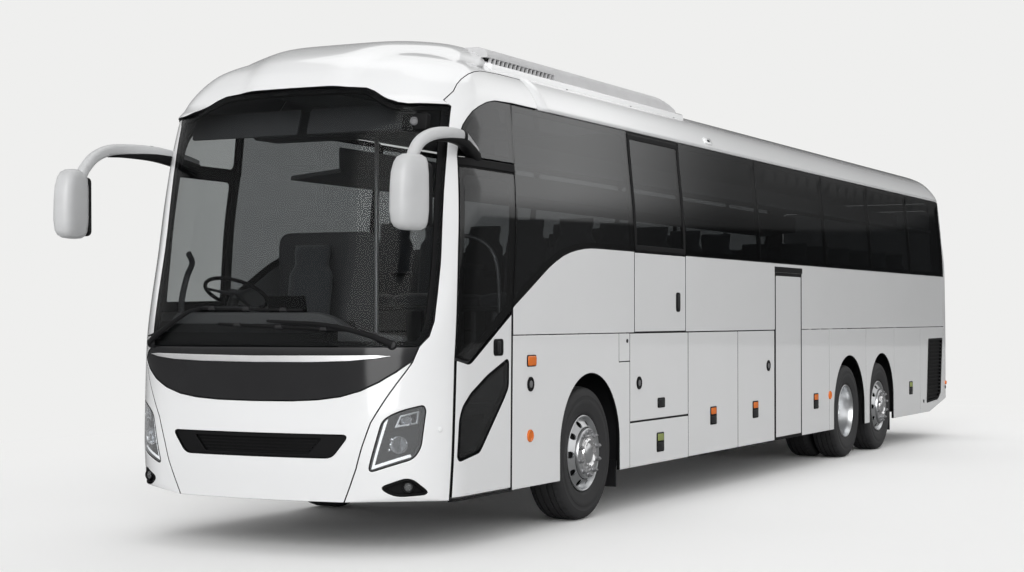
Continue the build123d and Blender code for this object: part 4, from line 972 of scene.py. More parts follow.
# %% Shape kit
class Kit:
    """Shapes gathered into one mesh, each with a material number."""

    def __init__(self, *materials):
        self.materials = materials
        self.verts, self.faces, self.slots = [], [], []

    def add(self, verts, faces, material=0):
        first = len(self.verts)
        self.verts += [tuple(v) for v in verts]
        self.faces += [tuple(first + i for i in face) for face in faces]
        self.slots += [material] * len(faces)

    def rows(self, rows, material, ring=True, loop=False, caps=True):
        """Rows of points joined by quads, each row a ring, with its ends capped."""
        n, m = len(rows[0]), len(rows)
        faces = []
        for i in range(m if loop else m - 1):
            for j in range(n if ring else n - 1):
                a, b = i * n + j, i * n + (j + 1) % n
                c, d = (i + 1) % m * n + (j + 1) % n, (i + 1) % m * n + j
                faces.append((a, b, c, d))
        if caps and not loop:
            faces += [tuple(range(n))[::-1], tuple(range((m - 1) * n, m * n))]
        self.add([p for row in rows for p in row], faces, material)

    def turned(self, profile, place, axis, material, steps, caps=True):
        """A profile of (along the axis, radius) turned about an axis."""
        axis = Vector(axis).normalized()
        side = axis.orthogonal().normalized()
        up = axis.cross(side)
        rows = []
        for along, radius in profile:
            ring = [2 * math.pi * k / steps for k in range(steps)]
            rows.append([Vector(place) + axis * along + (side * math.cos(a) + up * math.sin(a))
                * max(radius, 2e-4) for a in ring])
        self.rows(rows, material, caps=caps)

    def swept(self, path, section, material, sizes=None, up=UP):
        """A closed section of (across, up) swept along a path, with a size at each of its points."""
        path = [Vector(p) for p in path]
        rows = []
        for i, place in enumerate(path):
            run = (path[min(i + 1, len(path) - 1)] - path[max(i - 1, 0)]).normalized()
            across = run.cross(Vector(up)).normalized()
            over = across.cross(run)
            size = sizes[i] if sizes else 1.0
            rows.append([place + (across * u + over * v) * size for u, v in section])
        self.rows(rows, material)

    def plate(self, points, place, right, up, thick, bevel, material, side_material=None):
        """A flat plate with this outline, its front face at the place and its front edge bevelled."""
        right, up = Vector(right).normalized(), Vector(up).normalized()
        out = right.cross(up)
        loop = facing_out(np.array(points, float))
        rings = [(inward(loop, bevel), 0.0), (inward(loop, 0.3 * bevel), -0.3 * bevel), (loop, -bevel),
            (loop, -thick)]
        if bevel == 0:
            rings = [(loop, 0.0), (loop, -thick)]
        rows = [[Vector(place) + right * u + up * v + out * depth for u, v in ring] for ring,
            depth in rings]
        self.rows([row[::-1] for row in rows], material if side_material is None else side_material,
            caps=False)
        self.add(rows[0], [tuple(range(len(loop)))], material)
        self.add(rows[-1], [tuple(range(len(loop)))[::-1]], material)

    def make(self, name, body="coach", slot="dark_plastic", angle=35):
        made = add_mesh(name, self.verts, self.faces, self.materials, self.slots)
        mended(made, weld=1e-5)
        made.data.set_sharp_from_angle(angle=math.radians(angle))
        return fixed_to(made, body)


print("kit ready")

# %% Sections, paths and places
def ring_of(across, high, steps, power=2.0):
    """A closed section: an oval, or a rounded box where the power is above two."""
    turn = [2 * math.pi * k / steps for k in range(steps)]

    def bent(value):
        return math.copysign(abs(value) ** (2 / power), value)

    return [(across * bent(math.cos(a)), high * bent(math.sin(a))) for a in turn]


def curve_through(points, count):
    """A smooth path through points, as a Catmull-Rom curve with this many steps a span."""
    points = [Vector(p) for p in points]
    points = [2 * points[0] - points[1]] + points + [2 * points[-1] - points[-2]]
    out = []
    for i in range(1, len(points) - 2):
        a, b, c, d = points[i - 1:i + 3]
        for k in range(count):
            u = k / count
            out.append(0.5 * ((2 * b) + (c - a) * u + (2 * a - 5 * b + 4 * c - d) * u**2
                + (3 * b - a - 3 * c + d) * u**3))
    return out + [points[-2]]


def on_skin(view, u, z, side=1):
    """Point and outward normal of the skin at a place seen from the side, the front or the rear."""
    t = t_of(np.array([z]))
    point, normal = skin(c_of(view, np.array([u]), t) * side, t, view == "rear")
    return Vector(point[0]), Vector(normal[0])


print("shape kit ready")

# %% [markdown]
# The front door is a white leaf under a dark glass half, on two arms. A black seal on the body
# shows in the gap round it, as it does round the other doors and the flaps.

# %% Front door
LEAF_TOP = [(-1.326, 1.64), (-1.955, 1.296), (-1.985, 1.286), (-2.015, 1.286), (-2.177, 1.318)]
LOW_WINDOW = [(-1.715, 1.163), (-1.407, 1.272), (-1.412, 1.095), (-1.472, 1.026), (-1.814, 0.695),
    (-1.851, 0.668), (-2.135, 0.625), (-2.11, 0.882), (-2.075, 0.96), (-1.96, 1.046)]
DOOR_EDGE = DOOR_FRONT + DOOR_REAR[::-1]


def seal_ring(name, outline_points, inner=0.0115, outer=0.014, depth=0.006, thick=0.022):
    """A black seal on the body that shows in the gap round a door or flap."""
    ring = facing_out(laid("side", outline_points, 1 if "left" in name else -1))
    return black_panel(name, [inward(ring, -outer), inward(ring, inner)], thick=thick, depth=depth, gap=0.0,
        roll=0.001)


leaf_edge = [DOOR_FRONT[0], (-2.177, 1.318)] + LEAF_TOP[-2::-1] + [DOOR_REAR[0]]
door_body = "front_door_body"
leaf = panel("front_door_leaf", [laid("side", leaf_edge), laid("side", rounded(LOW_WINDOW, 0.03))],
    door_body, gap=0.022, grid=(0.12, 0.1))
seal_ring("cab_window_seal_right", CAB_WINDOW, 0.03, 0.026, 0.03)
seal_ring("quarter_seal_right", QUARTER, 0.024, 0.01, 0.03)
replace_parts(leaf, "front_door")
door_glass_edge = LEAF_TOP + [(-2.042, 2.63), (-1.239, 2.63), (-1.322, 1.7)]
door_glass = glazing("front_door_glass", [door_glass_edge], 1, door_body, gap=0.011, frit=0.06)
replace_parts(door_glass[0], "front_door_glass")
glazing("front_door_low", [rounded(LOW_WINDOW, 0.03)], 1, door_body, frit=0.02)
seal_ring("door_seal_left", DOOR_EDGE, thick=0.008)
black_panel("door_header", [laid("side", block(-2.046, -1.232, 2.632, 2.694))], depth=-0.002, gap=0.002,
    grid=(0.3, 0.3))

handle = Kit(SEAL, TRIM)
spot, out = on_skin("side", -1.558, 1.374)
handle.plate(rounded_box(0.075, 0.06, 0.03), spot + out * 0.004, ALONG, UP, 0.008, 0.002, 0)
handle.plate(rounded_box(0.022, 0.045, 0.015), spot + out * 0.012, ALONG, UP, 0.01, 0.004, 1)
handle.make("front_door_handle", door_body)
print("front door made")

# %% [markdown]
# Each headlamp has a black rim, a back plate, a bright L of daytime light, a reflector over a
# projector, and a clear cover that carries the skin on. Fog lamps and the air intake sit in the
# other openings of the front.

# %% Lamps of the front
LIGHT_L = [(0.957, 0.899), (0.869, 0.569), (1.11, 0.655), (1.101, 0.676), (0.897, 0.603), (0.981, 0.912)]
REFLECTOR = [(1.012, 0.846), (1.14, 0.872), (1.146, 0.966), (1.046, 0.934)]


def lamp_unit(kit, side, x, z, radius, sink, lens_material):
    """A round lamp that looks forward: bezel, bowl and domed lens."""
    point, normal = on_skin("front", side * x, z)
    axis = Vector((0.25 * side, -1, 0)).normalized()
    place = point - normal * sink
    kit.turned([(-0.01, 1.3 * radius), (0.02, 1.34 * radius), (0.026, 1.24 * radius), (0.014, radius),
        (-0.01, 0.9 * radius)], place, axis, 0, 40)
    dome = [(radius * 0.5 * math.sin(a), radius * math.cos(a)) for a in np.linspace(0, math.pi / 2, 9)]
    kit.turned([(0, radius)] + dome, place + axis * 0.008, axis, lens_material, 40)


print("lamp maker ready")

# %% Headlamps and fog lamps
for side, hand in HANDS:
    lamp_edge = facing_out(laid("front", mirrored_x(rounded(LAMP, 0.05), side)))
    black_panel(f"lamp_rim_{hand}", [lamp_edge, inward(lamp_edge, 0.012)], thick=0.05, depth=0.005,
        gap=0.0006, roll=0.002, grid=(1, 1))
    cover = panel(f"lamp_cover_{hand}", [lamp_edge], slot="lamp_clear", thick=0.004, gap=0.004, roll=0.0015,
        grid=(0.05, 0.05), materials=(LENS_CLEAR, LENS_CLEAR))
    backing(f"lamp_back_{hand}", [laid("front", mirrored_x(LAMP, side))], 0.058, (0.08, 0.08))
    panel(f"lamp_daylight_{hand}", [laid("front", mirrored_x(LIGHT_L, side))], slot="lamp_clear",
        thick=0.012, depth=0.012, gap=0.0005, roll=0.003, grid=(0.08, 0.08),
        materials=(LIGHT_BAR, LIGHT_BAR))
    edge = facing_out(laid("front", mirrored_x(REFLECTOR, side), step=0.02))
    panel(f"lamp_reflector_{hand}", [edge, inward(edge, 0.018)], slot="rim_alloy", thick=0.035, depth=0.016,
        gap=0.001, roll=0.006, grid=(1, 1), materials=(ALLOY, CHROME))
    units = Kit(CHROME, LENS_CLEAR, SEAL)
    lamp_unit(units, side, 1.088, 0.9, 0.03, 0.04, 1)
    lamp_unit(units, side, 1.048, 0.736, 0.046, 0.052, 1)
    for k, (x, z) in enumerate(((0.985, 0.7), (0.993, 0.735), (1.001, 0.77))):
        point, normal = on_skin("front", side * x, z)
        units.turned([(0, 0.01), (0.006, 0.011), (0.008, 0.007)], point - normal * 0.05, (0, -1, 0), 0, 16)
    units.make(f"lamp_units_{hand}", slot="rim_alloy")

    fog_edge = facing_out(laid("front", mirrored_x(rounded(FOG, 0.05), side)))
    black_panel(f"fog_rim_{hand}", [fog_edge, inward(fog_edge, 0.014)], thick=0.03, depth=0.003, gap=0.0008,
        roll=0.003, grid=(1, 1))
    backing(f"fog_back_{hand}", [fog_edge], 0.032, (0.08, 0.08))
    fog = Kit(TRIM, LENS_CLEAR, SEAL)
    lamp_unit(fog, side, 1.088, 0.452, 0.028, 0.028, 1)
    fog.make(f"fog_unit_{hand}")
    cap = Kit(WHITE)
    point, normal = on_skin("front", side * 1.225, 0.834)
    cap.turned([(0.0, 0.019), (0.003, 0.019), (0.006, 0.014), (0.007, 0.004)], point, normal, 0, 24)
    cap.make(f"washer_cap_{hand}", slot="paint")
    if side > 0:
        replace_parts(cover, "headlamps")
print("lamps made")

# %% Air intake and bright strip
INNER_INTAKE = taper(0.425, 0.52, 0.668, 0.772)
intake_edge = facing_out(laid("front", rounded(INTAKE, 0.05)))
black_panel("intake_rim", [intake_edge, laid("front", rounded(INNER_INTAKE, 0.015))], thick=0.02,
    depth=0.014, gap=0.001, roll=0.004, grid=(0.1, 0.05))
backing("intake_back", [laid("front", INTAKE)], 0.036, (0.1, 0.05))
for row in range(4):
    z, half = 0.686 + 0.022 * row, 0.43 + 0.02 * row
    black_panel(f"intake_slat_{row}", [laid("front", block(-half, half, z, z + 0.008))], thick=0.012,
        depth=0.022, gap=0.0005, roll=0.001)

STRIP = [(0, 1.281), (0.45, 1.284), (0.72, 1.293), (0.9, 1.311), (0.99, 1.328), (0.9, 1.335), (0.6, 1.332),
    (0, 1.327)]
panel("bright_strip", [laid("front", both(STRIP))], slot="rim_alloy", thick=0.012, depth=-0.007, gap=0.0,
    roll=0.004, grid=(0.1, 0.1), materials=(STRIP_METAL, SEAL))
print("front lamps and strip made")

# %% [markdown]
# Each wiper is a pivot cap, an arm that thins towards its blade, and a rubber blade that follows the
# curve of the glass. All of its points are taken from the skin and lifted off it.

# %% Wipers
WIPERS = [
    ("right", [(-0.985, 1.4), (-0.9, 1.452), (-0.62, 1.606), (-0.485, 1.64)],
        [(-0.53, 1.646), (0.364, 1.632)]),
    ("left", [(0.992, 1.403), (0.86, 1.462), (0.55, 1.53), (0.1, 1.556)],
        [(-0.313, 1.54), (0.7, 1.498)]),
]
wiper_kit = Kit(SEAL, TRIM)


def over_glass(places, lift):
    """Places on the windscreen, lifted off the glass."""
    spots = [on_skin("front", x, z) for x, z in places]
    return [point + normal * lift for point, normal in spots]


for hand, arm, blade in WIPERS:
    pivot, out = on_skin("front", *arm[0])
    wiper_kit.turned([(-0.005, 0.034), (0.018, 0.032), (0.03, 0.022), (0.032, 0.006)], pivot, out, 1, 32)
    path = curve_through(over_glass(arm, 0.03), 8)
    sizes = [1.25 - 0.7 * i / (len(path) - 1) for i in range(len(path))]
    wiper_kit.swept(path, ring_of(0.008, 0.019, 14, 3), 0, sizes)
    if hand == "right":
        rod = [(x - 0.012, z + 0.052 - 0.03 * i) for i, (x, z) in enumerate(arm[:-1])]
        wiper_kit.swept(curve_through(over_glass(rod, 0.026), 8), ring_of(0.007, 0.007, 10), 0)
    line = [tuple(spot) for spot in np.linspace(blade[0], blade[1], 25)]
    wiper_kit.swept(over_glass(line, 0.014), ring_of(0.009, 0.01, 10, 3), 0)
    wiper_kit.swept(over_glass(line, 0.003), ring_of(0.004, 0.004, 8, 3), 0)
    for k in (4, 12, 20):
        place, out = on_skin("front", *line[k])
        wiper_kit.plate(taper(0.03, 0.022, -0.012, 0.012), place + out * 0.032, ACROSS, (0, 0.15, 1), 0.014,
            0.003, 1)
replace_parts(wiper_kit.make("wiper_set"), "wipers")
print("wipers made")

# %% [markdown]
# The mirrors hang ahead of the front on pale grey arms with black undersides. Each head is a
# rounded shell that is full low down and narrows to its arm, with a black rim round its glass.

# %% Mirrors
ARM_PATH = [(1.195, -1.77, 2.742), (1.235, -1.93, 2.782), (1.3, -2.15, 2.815), (1.345, -2.42, 2.812),
    (1.342, -2.62, 2.788), (1.336, -2.78, 2.728), (1.34, -2.88, 2.64), (1.346, -2.925, 2.56)]
HEAD = (1.372, -2.984, 2.385)
# share of the height, width, length, shift back, corner sharpness
HEAD_SECTIONS = [(-0.245, 0.2, 0.3, 0.02, 2.2), (-0.24, 0.55, 0.62, 0.015, 2.4),
    (-0.222, 0.82, 0.84, 0.01, 2.7), (-0.19, 0.94, 0.95, 0.004, 3.0), (-0.12, 1.0, 1.0, 0.0, 3.2),
    (0.02, 1.0, 0.99, 0.004, 3.2), (0.12, 0.98, 0.95, 0.014, 3.2), (0.185, 0.92, 0.86, 0.03, 3.0),
    (0.222, 0.8, 0.74, 0.044, 2.7), (0.24, 0.55, 0.52, 0.056, 2.4), (0.246, 0.2, 0.2, 0.064, 2.2)]

# low, high, half width at each, corner, how far out, thickness, bevel, material: rim and two glasses
MIRROR_PLATES = [
    (-0.218, 0.2, 0.074, 0.07, 0.04, 0.154, 0.04, 0.008, 1),
    (-0.06, 0.188, 0.064, 0.061, 0.03, 0.1555, 0.004, 0.001, 2),
    (-0.206, -0.074, 0.064, 0.064, 0.03, 0.1555, 0.004, 0.001, 2),
]


def mirror(side):
    kit = Kit(SHELL, SEAL, CHROME)

    def spot(x, y, z):
        return Vector((side * x, at(y), z))

    path = curve_through([spot(*p) for p in ARM_PATH], 8)
    kit.swept(path, ring_of(0.036, 0.04, 24, 2.6), 0)
    root = curve_through([spot(x, y, z - 0.038) for x, y, z in ARM_PATH[:5]], 8)
    sizes = [1.3 - (i / (len(root) - 1)) ** 1.6 for i in range(len(root))]
    kit.swept(root, ring_of(0.037, 0.036, 20, 3), 1, sizes)
    kit.swept([spot(1.3, -2.135, 2.812), spot(1.312, -2.19, 2.816)], ring_of(0.0375, 0.042, 24, 2.8), 1)
    toe = Matrix.Rotation(-side * math.radians(8), 3, "Z")
    rows = []
    for height, width, length, back, power in HEAD_SECTIONS:
        middle = Vector((side * HEAD[0], at(HEAD[1]), HEAD[2] + height))
        ring = ring_of(0.0825 * width, 0.15 * length, 36, power)
        rows.append([middle + toe @ Vector((u, v + back * 0.5, 0)) for u, v in ring])
    kit.rows(rows, 0)
    centre = Vector((side * HEAD[0], at(HEAD[1]), HEAD[2] - 0.005))
    back = toe @ Vector(ALONG)
    right = toe @ Vector((-1, 0, 0))
    for low, high, foot, head, corner, out, thick, bevel, material in MIRROR_PLATES:
        kit.plate(rounded(taper(foot, head, low, high), corner, 6), centre + back * out, right, UP, thick,
            bevel, material)
    return kit.make(f"mirror_{dict(HANDS)[side]}", slot="paint", angle=40)


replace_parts(mirror(1), "mirrors")
mirror(-1)
print("mirrors made")

# %% [markdown]
# The pod behind the dome stands on a white base strip. The front of its sides is a row of slanted
# louvres over a dark liner, the rest is plain, and a pale cover closes it and slopes down behind.

# %% Roof pod
POD = (-1.146, 2.69)
POD_SECTION = [(1.012, 3.315), (1.013, 3.425), (1.006, 3.452), (0.99, 3.462)]
COVER_SECTION = [(0.972, 3.52), (0.966, 3.548), (0.948, 3.568), (0.9, 3.583), (0.7, 3.588), (0.35, 3.59)]


def lengthwise(kit, section, places, material, drop=None):
    """A mirrored section carried along the coach as a closed body."""
    rows = []
    for y in places:
        low = drop(y) if drop else 0.0
        half = [Vector((x, at(y), z - low)) for x, z in section]
        rows.append(half + [Vector((-p.x, p.y, p.z)) for p in half[::-1]])
    kit.rows(rows, material)


def slope(y):
    """How far the pod's cover has come down near its rear end."""
    return 0.085 * max(0.0, (y - 2.1) / 0.6) ** 2


pod_kit = Kit(WHITE, SEAL, CABIN_PALE)
lengthwise(pod_kit, POD_SECTION, np.linspace(POD[0], POD[1], 12), 0)
lengthwise(pod_kit, [(0.94, 3.45), (0.94, 3.545)], np.linspace(POD[0] + 0.02, 2.15, 4), 1)
cover_places = np.concatenate([[POD[0]], np.linspace(POD[0] + 0.01, 2.1, 8), np.linspace(2.16, 2.6, 8)])
lengthwise(pod_kit, [(0.972, 3.505)] + COVER_SECTION, cover_places, 2, slope)
lengthwise(pod_kit, [(0.985, 3.44), (0.973, 3.53)], np.concatenate([[0.0], cover_places[4:]]), 2, slope)
for side in (1, -1):
    for k in range(16):
        y = POD[0] + 0.06 + 0.068 * k
        pod_kit.plate([(-0.012, -0.034), (0.004, -0.034), (0.03, 0.03), (0.014, 0.03)],
            (side * 0.968, at(y), 3.49), (0, side, 0), UP, 0.02, 0.0, 2)
    for y in (0.15, 1.45, 2.45):
        pod_kit.turned([(-0.01, 0.016), (0.001, 0.016), (0.002, 0.01)], (side * 1.013, at(y), 3.395),
            (side, 0, 0), 1, 20)
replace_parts(pod_kit.make("pod", slot="paint"), "roof_pod")
print("pod made")

# %% [markdown]
# Tyres are turned, with a tread cut by grooves round the wheel and by short cross cuts in the
# shoulders. Rims have their real barrel, disc, hand holes, nuts and hub.

# %% Tyres
WALL = TYRE_W / 2
BEAD = WALL - 0.034
GROOVES = (0.03, 0.078)


def round_axle(centre, side, out, radius, turn):
    """A place this far out along the axle, at this radius and turn."""
    return centre + Vector((side * out, radius * math.cos(turn), radius * math.sin(turn)))


def tyre_mesh(kit, centre, side):
    """One tyre: half profile from the bead to the middle of the tread, mirrored."""
    half = [(BEAD, RIM_R + 0.0006), (BEAD + 0.008, RIM_R + 0.012), (BEAD + 0.016, RIM_R + 0.02),
        (BEAD + 0.02, RIM_R + 0.034), (WALL - 0.01, RIM_R + 0.062), (WALL - 0.003, RIM_R + 0.086),
        (WALL - 0.0005, RIM_R + 0.105), (WALL - 0.002, RIM_R + 0.118), (WALL - 0.004, RIM_R + 0.12),
        (WALL - 0.0055, TYRE_R - 0.075), (WALL - 0.004, TYRE_R - 0.072), (WALL - 0.008, TYRE_R - 0.048),
        (WALL - 0.014, TYRE_R - 0.03), (WALL - 0.024, TYRE_R - 0.016)]
    shoulder = [(WALL - 0.036, TYRE_R - 0.008), (WALL - 0.052, TYRE_R - 0.004)]
    tread = []
    for middle in GROOVES[::-1]:
        tread += [(middle + 0.0065, TYRE_R - 0.001), (middle + 0.004, TYRE_R - 0.013),
            (middle - 0.004, TYRE_R - 0.013), (middle - 0.0065, TYRE_R - 0.001)]
    outer = half + shoulder + tread
    profile = outer + [(-a, r) for a, r in outer[::-1]]
    first = len(half)
    last = len(profile) - len(half)
    steps, rows = 144, []
    for k in range(steps):
        turn = 2 * math.pi * k / steps
        cut = 0.007 if k % 3 == 0 else 0.0
        ring = []
        for index, (across_wheel, radius) in enumerate(profile):
            on_shoulder = first <= index < first + 3 or last - 3 <= index < last
            ring.append(round_axle(centre, side, across_wheel, radius - cut * on_shoulder, turn))
        rows.append(ring)
    kit.rows(rows, 0, ring=False, loop=True)
    kit.turned([(BEAD, RIM_R + 0.0006), (-BEAD, RIM_R + 0.0006)], centre, (side, 0, 0), 0, steps,
        caps=False)


print("tyre maker ready")

# %% Discs, nuts and barrels
def disc_with_holes(kit, centre, side, profile, ring_radius, hole, count):
    """A turned disc with a ring of round holes: rings of quads that bend round each hole."""
    near, far = ring_radius - hole * 1.14, ring_radius + hole * 1.14
    (outer_a, outer_r), (inner_a, inner_r) = profile

    def across_at(radius):
        return float(np.interp(radius, [inner_r, outer_r], [inner_a, outer_a]))

    n = 48
    verts, faces = [], []
    for number in range(count):
        middle = 2 * math.pi * number / count
        width = math.pi / count
        rim_ring, hole_ring, back_ring = [], [], []
        for k in range(n):
            angle = 2 * math.pi * k / n + math.pi / 4
            u, v = math.cos(angle), math.sin(angle)
            reach = max(abs(u), abs(v))
            square = (u / reach, v / reach)
            radius = ring_radius + square[0] * hole * 1.14
            turn = middle + square[1] * width
            rim_ring.append(round_axle(centre, side, across_at(radius), radius, turn))
            radius = ring_radius + u * hole
            turn = middle + v * hole / ring_radius
            hole_ring.append(round_axle(centre, side, across_at(radius), radius, turn))
            back_ring.append(round_axle(centre, side, across_at(radius) - 0.012, radius, turn))
        first = len(verts)
        verts += rim_ring + hole_ring + back_ring
        for k in range(n):
            j = (k + 1) % n
            faces.append((first + k, first + j, first + n + j, first + n + k))
            faces.append((first + n + k, first + n + j, first + 2 * n + j, first + 2 * n + k))
    kit.add(verts, faces)
    return (across_at(near), near), (across_at(far), far)


NUTS, NUT_SIZE, NUT_HIGH = 10, 0.017, 0.032


def nut_ring(kit, centre, side, across_wheel, ring_radius):
    """Wheel nuts with washers and stud ends."""
    axis = Vector((side, 0, 0))
    for k in range(NUTS):
        place = round_axle(centre, side, across_wheel, ring_radius, 2 * math.pi * (k + 0.5) / NUTS)
        kit.turned([(0, NUT_SIZE * 1.25), (0.004, NUT_SIZE * 1.2), (0.005, NUT_SIZE)], place, axis, 1, 18)
        kit.turned([(0.004, NUT_SIZE), (NUT_HIGH * 0.8, NUT_SIZE), (NUT_HIGH * 0.86, NUT_SIZE * 0.8)],
            place, axis, 1, 6)
        kit.turned([(0.01, NUT_SIZE * 0.5), (NUT_HIGH * 1.1, NUT_SIZE * 0.5),
            (NUT_HIGH * 1.16, NUT_SIZE * 0.35)], place, axis, 1, 12)


def hub_bolts(kit, centre, side, across_wheel, ring_radius, count, size):
    """Small bolts round the hub cap."""
    for k in range(count):
        place = round_axle(centre, side, across_wheel, ring_radius, 2 * math.pi * k / count)
        kit.turned([(0, size), (0.006, size), (0.007, size - 0.003)], place, (side, 0, 0), 1, 6)


def barrel(kit, centre, side, profile, material=0):
    """An open turned strip, closed round the axle but not at its ends."""
    kit.turned(profile, centre, (side, 0, 0), material, 96, caps=False)


print("rim parts ready")

# %% Rims
RIM_HALF = WALL - 0.026


def single_rim(centre, side):
    """A rim with its disc set out, as steered and tag wheels have."""
    kit = Kit(ALLOY, STEEL, SEAL, CHROME)
    barrel(kit, centre, side, [(RIM_HALF - 0.004, RIM_R - 0.0004), (RIM_HALF + 0.005, RIM_R - 0.001),
        (RIM_HALF + 0.008, RIM_R - 0.006), (RIM_HALF + 0.006, RIM_R - 0.013),
        (RIM_HALF - 0.004, RIM_R - 0.018), (RIM_HALF - 0.016, RIM_R - 0.024), (0.096, 0.27)])
    inner, outer = disc_with_holes(kit, centre, side, [(0.098, 0.268), (0.146, 0.206)], 0.2365, 0.0265, 10)
    barrel(kit, centre, side, [(0.096, 0.27), outer])
    barrel(kit, centre, side, [inner, (0.146, 0.204), (0.143, 0.199)], 2)
    barrel(kit, centre, side, [(0.143, 0.199), (0.163, 0.1975), (0.168, 0.195), (0.17, 0.19),
        (0.17, 0.118)])
    barrel(kit, centre, side, [(0.096, 0.27), (0.04, 0.262), (-RIM_HALF, 0.276),
        (-RIM_HALF - 0.004, RIM_R - 0.002)], 0)
    barrel(kit, centre, side, [(0.07, 0.262), (0.118, 0.198), (0.13, 0.19), (0.13, 0.09), (0.02, 0.09)], 2)
    nut_ring(kit, centre, side, 0.1695, 0.1675)
    barrel(kit, centre, side, [(0.17, 0.14), (0.172, 0.137), (0.1725, 0.118), (0.182, 0.112),
        (0.186, 0.104), (0.18, 0.086), (0.172, 0.078)], 3)
    cap = [(0.172, 0.078), (0.178, 0.07), (0.184, 0.052), (0.187, 0.028), (0.1875, 0.004)]
    kit.turned(cap, centre, (side, 0, 0), 0, 64)
    hub_bolts(kit, centre, side, 0.1825, 0.097, 8, 0.007)
    return kit


def twin_rim(centre, side):
    """Twin rims on one hub, the outer one dished in."""
    kit = Kit(ALLOY, STEEL, SEAL, CHROME)
    half = TWIN / 2
    lip = half + RIM_HALF
    barrel(kit, centre, side, [(lip - 0.004, RIM_R - 0.0004), (lip + 0.003, RIM_R - 0.001),
        (lip + 0.005, RIM_R - 0.006), (lip + 0.003, RIM_R - 0.014), (lip - 0.012, RIM_R - 0.02),
        (half + 0.06, 0.27), (half - 0.06, 0.262), (0.034, 0.24)])
    inner, outer = disc_with_holes(kit, centre, side, [(0.03, 0.237), (0.016, 0.178)], 0.206, 0.022, 10)
    barrel(kit, centre, side, [(0.034, 0.24), outer])
    barrel(kit, centre, side, [inner, (0.016, 0.176), (0.016, 0.112)])
    barrel(kit, centre, side, [(0.012, 0.236), (0.004, 0.176), (0.004, 0.08)], 2)
    barrel(kit, centre, side, [(-half - RIM_HALF, RIM_R - 0.001), (-half - RIM_HALF, RIM_R - 0.02),
        (-half - 0.06, 0.27), (-0.02, 0.244), (0.03, 0.24)], 0)
    nut_ring(kit, centre, side, 0.016, 0.158)
    barrel(kit, centre, side, [(0.016, 0.128), (0.06, 0.124), (0.15, 0.112), (0.176, 0.106), (0.184, 0.096),
        (0.188, 0.07), (0.194, 0.06)], 3)
    kit.turned([(0.194, 0.06), (0.199, 0.05), (0.2025, 0.03), (0.2035, 0.004)], centre, (side, 0, 0), 0, 64)
    hub_bolts(kit, centre, side, 0.186, 0.083, 10, 0.008)
    return kit


print("rim makers ready")

# %% Wheels on their bodies
for end, place in (("front", 0.0), ("drive", DRIVE), ("tag", TAG)):
    for side, hand in HANDS:
        wheel_body = f"wheel_{end}_{hand}_body"
        across_coach = WHEEL_X - TWIN / 2 if end == "drive" else WHEEL_X
        centre = Vector((side * across_coach, at(place), TYRE_R))
        tyre = Kit(RUBBER)
        for shift in ((TWIN / 2, -TWIN / 2) if end == "drive" else (0,)):
            tyre_mesh(tyre, centre + Vector((side * shift, 0, 0)), side)
        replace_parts(tyre.make(f"tyre_{end}_{hand}_dressed", wheel_body, "tyre_rubber", 30),
            f"tyre_{end}_{hand}")
        kit = twin_rim(centre, side) if end == "drive" else single_rim(centre, side)
        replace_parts(kit.make(f"rim_{end}_{hand}_dressed", wheel_body, "rim_alloy", 30), f"rim_{end}_{hand}")
print("wheels made")

# %% [markdown]
# Small fittings lie on the side panels: lamps, latches with reflectors, round locks, the grille of
# the engine bay, door headers and handles. Each rides on the flap or door that it sits on.

# %% Fittings of the side
def fitting(kit, y, z, side, size, thick, lift, corner, material=0, bevel=0.003):
    """A rounded plate of (length, height) that stands on the side."""
    spot, out = on_skin("side", y, z, side)
    half_y, half_z = size[0] / 2, size[1] / 2
    up = Vector(UP) - out * out.z
    kit.plate(rounded_box(half_y, half_z, corner), spot + out * lift, up.cross(out), up, thick, bevel,
        material)


def round_fitting(kit, y, z, side, radius, high, material, cup):
    """A turned cap with a rolled edge, with a second material in its middle."""
    spot, out = on_skin("side", y, z, side)
    kit.turned([(-0.004, radius), (0.6 * high, radius), (high, 0.86 * radius), (0.7 * high, 0.72 * radius)],
        spot, out, material, 28)
    kit.turned([(0, 0.74 * radius), (0.55 * high, 0.7 * radius), (0.8 * high, 0.35 * radius)], spot, out,
        cup, 24)


print("fitting makers ready")

# %% Latches, locks, lamps and grilles
# body, behind the front axle, height, reflector ("amber", "green" or none)
LATCHES = [("flap_{hand}_1_body", 1.49, 0.856, None), ("coach", 1.468, 0.521, "green"),
    ("flap_{hand}_2_body", 2.759, 0.685, "amber"), ("flap_{hand}_3_body", 3.925, 0.688, "amber"),
    ("coach", 5.885, 0.688, "amber"), ("coach", 9.872, 0.691, "green")]
LOCKS = [("coach", -1.044, 1.097), ("flap_{hand}_1_body", 1.003, 1.04),
    ("flap_{hand}_3_body", 4.316, 1.105)]
LAMPS = [(-1.028, 1.268, "square"), (-1.054, 0.72, "round"), (6.39, 0.732, "round"), (11.71, 0.7, "small")]
LATCH_SIZE = (0.15, 0.086)

